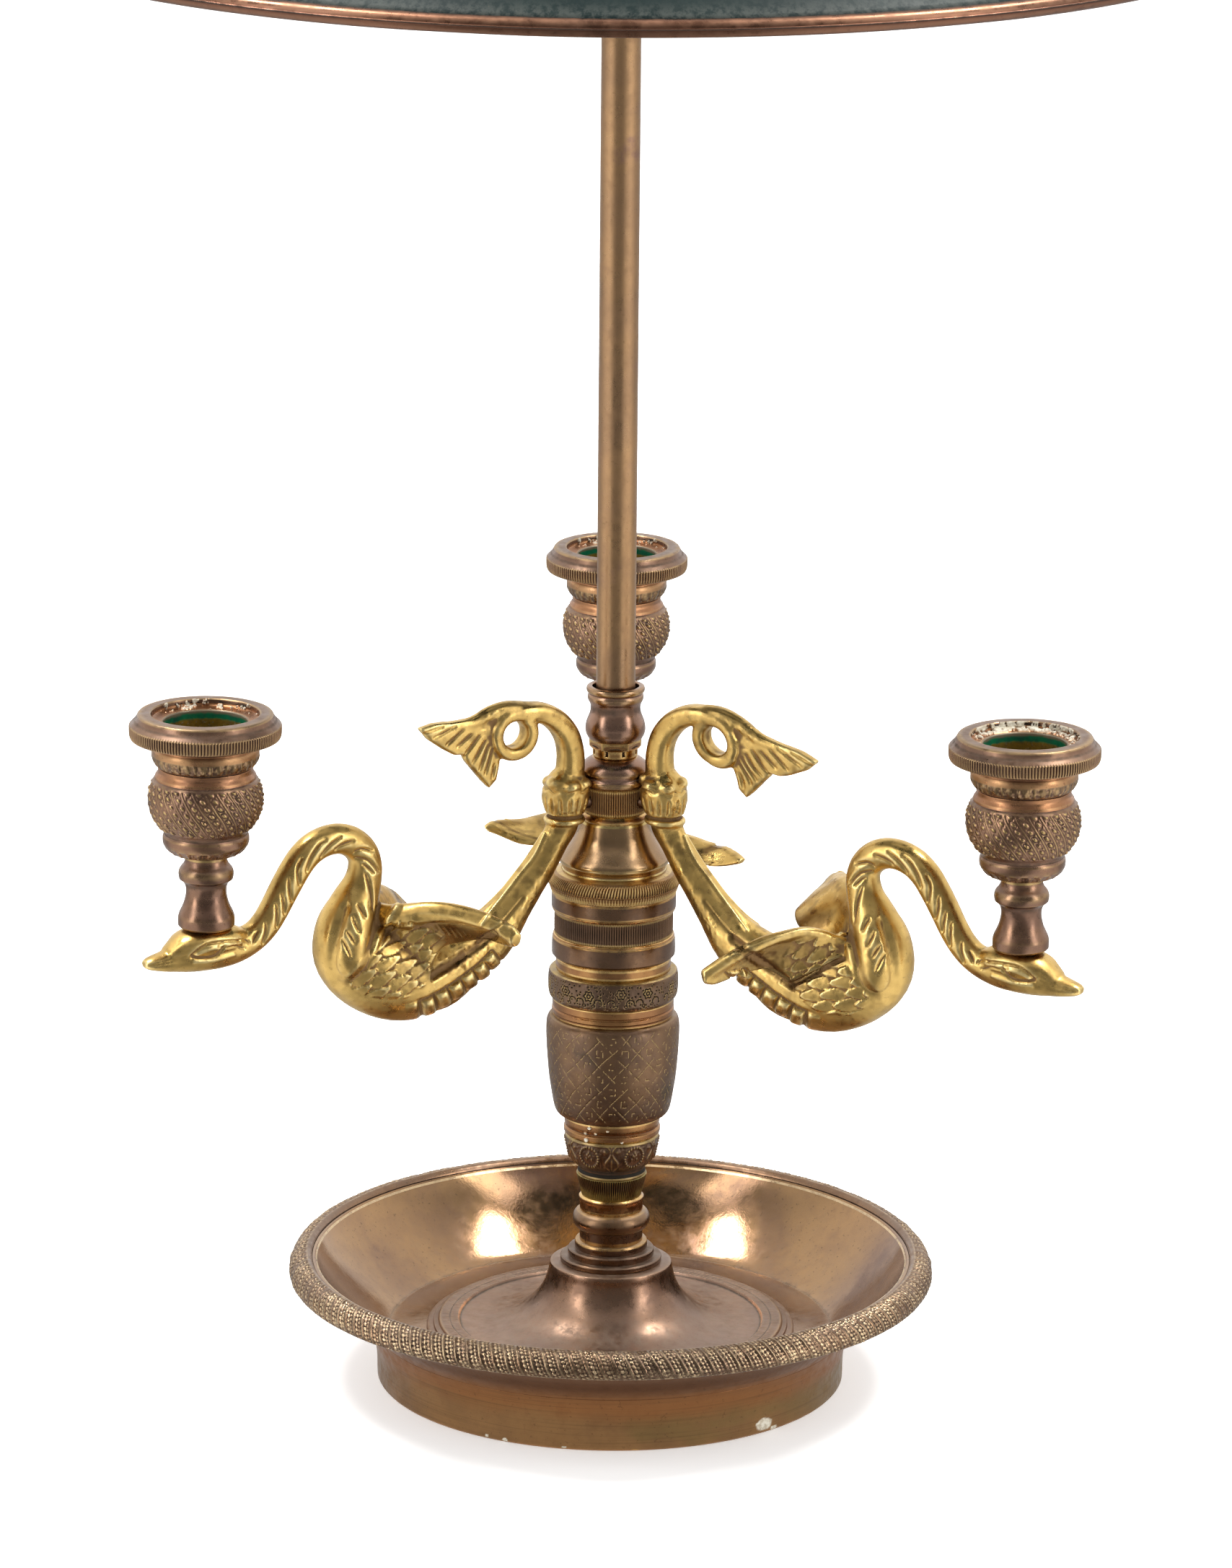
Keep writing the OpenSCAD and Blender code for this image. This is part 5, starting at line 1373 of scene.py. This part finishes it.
    # blocky beads along both lower edges of the body
    m = (r > 30) & (r < 72) & (z < 134)
    xm, ym = x[m], y[m]
    dd, _, at = pline(xm, ym, BEADS)
    row = -0.95 * (1 - ss(1.9, 3.4, dd)) * ss(0.02, 0.1, at) * (1 - ss(0.9, 0.99, at))
    top = np.zeros(m.sum())
    for k in range(1, len(BEADS)):
        p, q = BEADS[k - 1], BEADS[min(k + 1, len(BEADS) - 1)]
        ln = math.hypot(q[0] - p[0], q[1] - p[1])
        tx, ty = (q[0] - p[0]) / ln, (q[1] - p[1]) / ln
        u = (xm - BEADS[k][0]) * tx + (ym - BEADS[k][1]) * ty
        v = -(xm - BEADS[k][0]) * ty + (ym - BEADS[k][1]) * tx
        half = 1.75 + 0.12 * k * (k < 5) + 0.3 * (k >= 5)
        b = (np.clip(1 - np.abs(u / half) ** 3.5, 0, 1) * np.clip(1 - np.abs(v / 2.5) ** 4, 0, 1)) ** 0.6
        top = np.maximum(top, b * (2.0 - 0.24 * k * (k > 6) + 0.16 * v - 0.14 * u))
    d[m] += row + top
    # fan ribs, both faces
    m = (z > 170) & (r > 33)
    for a, b in zip(RIBS_IN, RIBS_OUT):
        dd, _, at = pline(x[m], y[m], [a, ((a[0] + b[0]) / 2, (a[1] + b[1]) / 2), b])
        d[m] -= 0.55 * soft(dd, 0.62) * (0.5 + 0.5 * np.sin(math.pi * np.clip(at, 0.02, 0.98))) * f0[m]
    # eye, brow, mouth
    m = (r > 106) & (z < 150)
    for g, dep, wd in (([(127.8, 139.7), (123.7, 142.0), (119.1, 142.2), (113.6, 141.7)], 0.62, 0.6),
                       ([(118.3, 140.3), (121.2, 138.6), (124.5, 138.5), (127.8, 139.3)], 0.62, 0.62),
                       ([(117.8, 140.6), (120, 140.9), (118.6, 141.8)], 0.35, 0.6),
                       ([(117.2, 140.2), (114.6, 140.3), (112.1, 139.4)], 0.4, 0.5),
                       ([(113.8, 141.9), (111.8, 141.8), (110.8, 140.6)], 0.35, 0.5),
                       ([(129.5, 139.9), (134, 138.9), (140.5, 138.6)], 0.16, 0.4)):
        dd, _, at = pline(x[m], y[m], g)
        d[m] -= dep * soft(dd, wd) * f0[m]
    dd, _, at = pline(x[m], y[m], [(119.6, 140.8), (122.5, 140.6), (126.2, 139.8)])
    d[m] += 0.3 * soft(dd, 1.0) * f0[m]
    dd, _, at = pline(x[m], y[m], [(127, 137.9), (121, 137.4), (115.5, 138.2)])
    d[m] += 0.3 * soft(dd, 1.1) * f0[m]
    # leaf collar: slits and a dark joint
    m = (r < 24) & (z > 160) & (z < 176)
    a = np.arctan2(w[m], r[m] - 15.2)
    sl = soft(near(15 * a / TAU), 0.2) * win(164.2, 169.3, z[m], 1.2)
    d[m] -= 0.55 * sl
    d[m] -= 0.7 * soft(z[m] - 163.4, 0.7)
    d[m] -= 0.35 * soft(z[m] - 170.9 - 0.35 * np.sin(9 * a), 0.6)
    # cast grain
    grain = 0.05 * vnoise(r / 0.9, w / 0.9, z / 0.9, 41) + 0.05 * vnoise(r / 2.6, w / 2.6, z / 2.6, 42)
    rough = np.maximum(inside(x, y, [(55, 124), (53.5, 130.5), (47, 132), (36, 130), (28, 142), (20, 160), (15, 158), (30, 130), (40, 121)], 1.5),
                       inside(x, y, [(44, 193.5), (37, 195), (33.5, 193), (36.5, 181), (39.5, 187)], 0.8))
    rough = np.maximum(rough, ((r < 24) & (z > 163) & (z < 176)) * 0.8)
    rough = np.maximum(rough, 0.25 * inside(x, y, PLUMES_L, 1.0))
    return d + grain * (0.35 + 1.6 * rough)


def shade_and_grime(co, no):
    """Painted shade in the bird's creases and hollows and under its wings (negative), with darker patches at random."""
    r, w, z = co.T
    x, y = lay(r, w, z)
    t = np.zeros(len(co))
    n1 = vnoise(r / 3.2, w / 3.2, z / 3.2, 61) + 0.5 * vnoise(r / 1.3, w / 1.3, z / 1.3, 62)
    body = (r > 10) & (r < 110)

    def line(P, wide, amount, m):
        dd = pline(x[m], y[m], P)[0]
        t[m] -= amount * (1 - ss(0.25 * wide, wide, dd))

    left, right = body & (w > -1), body & (w < 1)
    # painted shade along the tail's flank, under the right wing's root, beside the neck's lobe and in the tail's crease
    line([(55.5, 123.8), (49.5, 126.6), (43.8, 129.3), (37.5, 132.6)], 3.0, 0.8, body & (r < 66))
    line([(55.4, 124), (59.8, 127.1), (64.4, 130.1), (70.6, 134.2)], 1.7, 0.85, right & (r < 85))
    line([(71.5, 147), (73.6, 140), (75, 134.5), (77.4, 129.3), (81.5, 125.6)], 1.6, 0.4, body & (r > 66))
    line([(28.3, 141.6), (35, 135.4), (42.0, 131.3)], 1.2, 0.55, body & (r < 52))
    # painted shade in the hollow under each wing's edge
    m = left & (r > 34) & (r < 75) & (w > 8)
    t[m] -= 0.75 * inside(x[m], y[m], [(57, 139.5), (50, 137.6), (43, 134.8), (38, 132.4), (40, 131.2), (48, 131.4), (55, 131.4)], 1.2)
    m = right & (r > 28) & (r < 75) & (w < -8)
    t[m] -= 0.5 * inside(x[m], y[m], [(62, 138.5), (53, 135.6), (46, 132.0), (38, 127.6), (40, 125.6), (48, 128.2), (55, 127), (60, 129.6)], 1.4)
    t -= 0.5 * ss(0.25, 0.9, n1) * (r < 66)
    t -= 0.25 * ss(0.35, 0.95, n1) * (r >= 66)
    return np.clip(t, -1, 1)


def swan_master():
    size = 0.35
    co, f = swan_clay().merged(size)
    ob = mesh_object("swan_master", co, f)
    e = edges_of(ob)
    co = relax(co, e, 4, 0.5)
    # the brow is cut flat for the candle's foot
    top = (co[:, 2] > PAD - 0.02) & (co[:, 0] > 112)
    co[top, 2] = PAD - 0.02
    set_co(ob, co)
    no = get_normals(ob)
    # soften creases a little before carving
    d = carve(co, no)
    keep = (co[:, 0] > 112) & (co[:, 2] > PAD - 0.4)
    d[keep] = 0
    co = co + no * d[:, None]
    co = relax(co, e, 1, 0.25)
    bpy.data.objects.remove(ob)
    return co, f, shade_and_grime(co, no)


def swan_arm(name, az, sag, tip, co, f):
    r, w, z = co.T.copy()
    # the fan's upper lobe droops by tip
    up = ss(178, 186, z)
    bend = np.clip((r - 28) / 33, 0, 1.1) ** 1.2
    fan = (z > 170) & (r < 66)
    z = z - np.where(fan, tip * 0.78 * bend * up + tip * 0.1 * (1 - up) * (r > 30), 0)
    r = r + np.where(fan & (r > 30), tip * 0.2 * (1 - up), 0)
    if name.endswith("right"):
        r = r + np.where(fan & (r > 38), 0.085 * (r - 38), 0)
    if name.endswith("back"):
        # this casting's wings lie flatter than those of the other two
        out = (r > 24) & (r < 85) & (z < 165)
        k = ss(9, 17, np.abs(w)) * out
        flat = np.where(w > 0, 141.3 + 2.6 * ss(24, 34, np.abs(w)) + 0.40 * (z - 143.5),
                        135.0 + 2.0 * ss(24, 34, np.abs(w)) + 0.42 * (z - 137.5))
        z = z * (1 - k) + flat * k
        w = w * (1 + 0.055 * out * ss(18, 34, np.abs(w)))
    z = z - sag * (r - 15) / (CUP_R - 15)
    a = math.radians(az)
    x, y = r * math.cos(a) - w * math.sin(a), r * math.sin(a) + w * math.cos(a)
    # saddle round the hub
    rad = np.hypot(x, y)
    need = np.where(z > 169.9, 9.7, np.where(z > 162.2, 8.5, 9.45))
    k = np.where(rad < need, need / np.maximum(rad, 1e-6), 1.0)
    return mesh_object(name, np.stack([x * k, y * k, z - TABLE], 1), f)


swan_co, swan_f, swan_tone = swan_master()
for a, (az, sag) in ARMS.items():
    ob = swan_arm("swan_cast_" + a, az, sag, {"left": 0.0, "right": 8.0, "back": 4.0}[a], swan_co, swan_f)
    put_attr(ob, "tone", swan_tone)
    done(ob, "cast", "stand", "cast_brass", "swan_arm_" + a, size=0.6, wide=2.0)

# ---------------------------------------------------------------- shade
SH_R, SH_T, SH_Z, SH_H = 170.0, 68.0, 406.1, 115.0
FT = 0.6 * math.hypot(SH_R - SH_T, SH_H) / SH_H / 2


def cone(h):
    return SH_R - (SH_R - SH_T) * h / SH_H


def sheet_disp(s, r, z, t):
    return 0.25 * vnoise(r * np.cos(t) / 45, r * np.sin(t) / 45, z / 45, 4) * win(SH_Z, SH_Z + SH_H, z, 12)


def sheet_wave(s, r, z, t):
    # both faces of the sheet move together
    d = sheet_disp(s, r, z, t)
    return np.where(s < 153.9, d, -d)


done(turned("shade_sheet", [(SH_R + FT, SH_Z), (SH_T + FT, SH_Z + SH_H), (SH_T - FT, SH_Z + SH_H), (SH_R - FT, SH_Z)],
            360, 4.0, sheet_wave, closed=True, rad=0.05),
     "paint", "shade", "shade_paint", "shade_skin")


def bead_ring(name, r, z, q, n):
    pts = [(r + q * math.cos(k * TAU / 28), z + q * math.sin(k * TAU / 28)) for k in range(28)]
    return turned(name, pts + pts[:1], n, 0.5, closed=True, rad=0.1,
                  disp=lambda s, rr, zz, t: 0.05 * vnoise(rr * np.cos(t) / 20, rr * np.sin(t) / 20, zz / 20, 9) - 0.03)


done(bead_ring("shade_rim_low", SH_R, SH_Z, 2.35, 480), "rim", "shade", "rim_copper", "shade_rim_lower")
done(bead_ring("shade_rim_high", SH_T, SH_Z + SH_H, 1.7, 300), "rim", "shade", "rim_copper", "shade_rim_upper")

# CAD pieces that stay as they are get their finish here
KEEP = {"tie_rod": "steel", "rod_plug": "steel", "bottom_washer": "steel", "bottom_nut": "steel", "arm_pins": "turned",
        "cup_studs": "steel", "spider_ring": "fitting", "spider_arms": "fitting", "spider_hub": "fitting",
        "clamp_sleeve": "fitting", "thumb_screw": "fitting", "finial_collar": "fitting", "finial": "fitting"}
for k, m in KEEP.items():
    ob = frame["nodes"][k]
    if not ob.hide_render:
        ob.data.materials.clear()
        ob.data.materials.append(M[m])

# ---------------------------------------------------------------- stage
def plane(name, co, mat, **vis):
    ob = mesh_object(name, np.array(co) / MM, [[0, 1, 2, 3]])
    ob.data.materials.append(mat)
    for k, v in vis.items():
        setattr(ob, k, v)
    return ob


def plain(name, colour, rough, emit=0.0):
    n = Nodes(name)
    f = n.noise(3.0, 2, 0.5)
    n.set("Base Color", n.mix(f, colour, tuple(c * 0.985 for c in colour)))
    n.set("Roughness", rough)
    n.set("Specular IOR Level", 0.15)
    if emit:
        n.set("Emission Color", (1.0, 1.0, 1.0))
        n.set("Emission Strength", emit)
    return n.m


floor_mat = plain("studio_floor", (0.93, 0.93, 0.93), 0.7, 0.42)
S = 9.0
plane("studio_floor", [(-S, -S, -0.0002), (S, -S, -0.0002), (S, S, -0.0002), (-S, S, -0.0002)], floor_mat)


def floor_card():
    """What the metal sees of the floor: dark in front, bright to both sides
    of that, dim behind. It only shows in reflections."""
    n = Nodes("floor_card")
    x, y = n.axis(0), n.axis(1)
    a = n.math("ARCTAN2", x, n.math("MULTIPLY", y, -1.0))
    a = n.math("ABSOLUTE", n.math("ADD", a, 0.07))
    e = n.math("ADD", n.step(a, 0.42, 0.72, 0.28, 1.25), n.step(a, 1.40, 1.95, 0.0, -0.65))
    k = n.step(n.radius(), 0.085, 0.20, 1.0, 0.0)
    e = n.math("ADD", n.math("MULTIPLY", e, n.math("SUBTRACT", 1.0, k)), n.math("MULTIPLY", k, 0.6))
    n.set("Base Color", (0.0, 0.0, 0.0))
    n.set("Specular IOR Level", 0.0)
    n.set("Emission Color", (1.0, 1.0, 1.0))
    n.set("Emission Strength", e)
    w = 3.5
    plane("floor_card", [(-w, -w, 0.0006), (w, -w, 0.0006), (w, w, 0.0006), (-w, w, 0.0006)], n.m, visible_camera=False,
          visible_diffuse=False, visible_shadow=False, visible_transmission=False, visible_volume_scatter=False)


floor_card()


def area(name, at, target, size, power, colour=(1, 1, 1)):
    li = bpy.data.lights.new(name, "AREA")
    li.shape = "RECTANGLE"
    li.size, li.size_y = size
    li.energy = power
    li.color = colour
    ob = bpy.data.objects.new(name, li)
    bpy.context.scene.collection.objects.link(ob)
    ob.location = at
    d = Vector(target) - Vector(at)
    ob.rotation_euler = d.to_track_quat("-Z", "Y").to_euler()
    return ob


T = (0, 0, 0.15)
area("soft_left", (-0.81, 0.12, 0.15 + 1.58), T, (0.52, 0.42), 23, (1.0, 0.985, 0.96))
area("soft_right", (0.81, 0.12, 0.15 + 1.58), T, (0.52, 0.42), 23, (1.0, 0.985, 0.96))

world = bpy.data.worlds.new("studio")
bpy.context.scene.world = world
world.use_nodes = True
wt = world.node_tree
wt.nodes.clear()
wo = wt.nodes.new("ShaderNodeOutputWorld")
bg = wt.nodes.new("ShaderNodeBackground")
tc = wt.nodes.new("ShaderNodeTexCoord")
sx = wt.nodes.new("ShaderNodeSeparateXYZ")
wt.links.new(tc.outputs["Generated"], sx.inputs[0])
ab = wt.nodes.new("ShaderNodeMath")
ab.operation = "ABSOLUTE"
wt.links.new(sx.outputs[0], ab.inputs[0])


def ramp(source, a, b, lo, hi):
    n = wt.nodes.new("ShaderNodeMapRange")
    n.interpolation_type = "SMOOTHSTEP"
    wt.links.new(source, n.inputs["Value"])
    n.inputs["From Min"].default_value = a
    n.inputs["From Max"].default_value = b
    n.inputs["To Min"].default_value = lo
    n.inputs["To Max"].default_value = hi
    return n.outputs["Result"]


top = wt.nodes.new("ShaderNodeMath")
top.operation = "MAXIMUM"
wt.links.new(ramp(sx.outputs[1], -0.45, 0.5, 0.22, 1.15), top.inputs[0])
wt.links.new(ramp(sx.outputs[2], 0.45, 0.85, 0.0, 0.55), top.inputs[1])
mx = wt.nodes.new("ShaderNodeMath")
mx.operation = "MAXIMUM"
wt.links.new(top.outputs[0], mx.inputs[0])
wt.links.new(ramp(ab.outputs[0], 0.5, 0.85, 0.0, 0.85), mx.inputs[1])


def node(op, a, b):
    n = wt.nodes.new("ShaderNodeMath")
    n.operation = op
    for k, v in enumerate((a, b)):
        if isinstance(v, float):
            n.inputs[k].default_value = v
        else:
            wt.links.new(v, n.inputs[k])
    return n.outputs[0]


# a tall soft light stands to the front of each side
turn = node("ARCTAN2", ab.outputs[0], node("MULTIPLY", sx.outputs[1], -1.0))
tall = node("MULTIPLY", ramp(turn, 0.86, 0.96, 0.0, 1.0), ramp(turn, 1.16, 1.26, 1.0, 0.0))
tall = node("MULTIPLY", tall, ramp(sx.outputs[2], 0.80, 0.88, 1.0, 0.0))
wt.links.new(node("ADD", mx.outputs[0], node("MULTIPLY", tall, 3.6)), bg.inputs["Strength"])
bg.inputs["Color"].default_value = (1, 1, 1, 1)
wt.links.new(bg.outputs[0], wo.inputs["Surface"])

# ---------------------------------------------------------------- camera
E = math.radians(15.508)
ROLL = math.radians(0.5)
F = Vector((0, math.cos(E), -math.sin(E)))
U = Vector((0, math.sin(E), math.cos(E)))
X = Vector((1, 0, 0))
cr, sr = math.cos(ROLL), math.sin(ROLL)
Xc = X * cr + U * sr
Uc = -X * sr + U * cr
cam = bpy.data.cameras.new("camera")
cam.sensor_fit = "VERTICAL"
cam.sensor_height = 36.0
cam.lens = 11330.0 * 36.0 / 2173.0
cam.clip_start = 0.05
cam.clip_end = 60
co = bpy.data.objects.new("camera", cam)
bpy.context.scene.collection.objects.link(co)
pos = Vector((0.0003, 0, 0.167284)) - F * 2.2
m = Matrix.Identity(4)
for k in range(3):
    m[k][0], m[k][1], m[k][2], m[k][3] = Xc[k], Uc[k], -F[k], pos[k]
co.matrix_world = m
bpy.context.scene.camera = co
bpy.context.scene.view_settings.view_transform = "Standard"
bpy.context.scene.view_settings.look = "None"
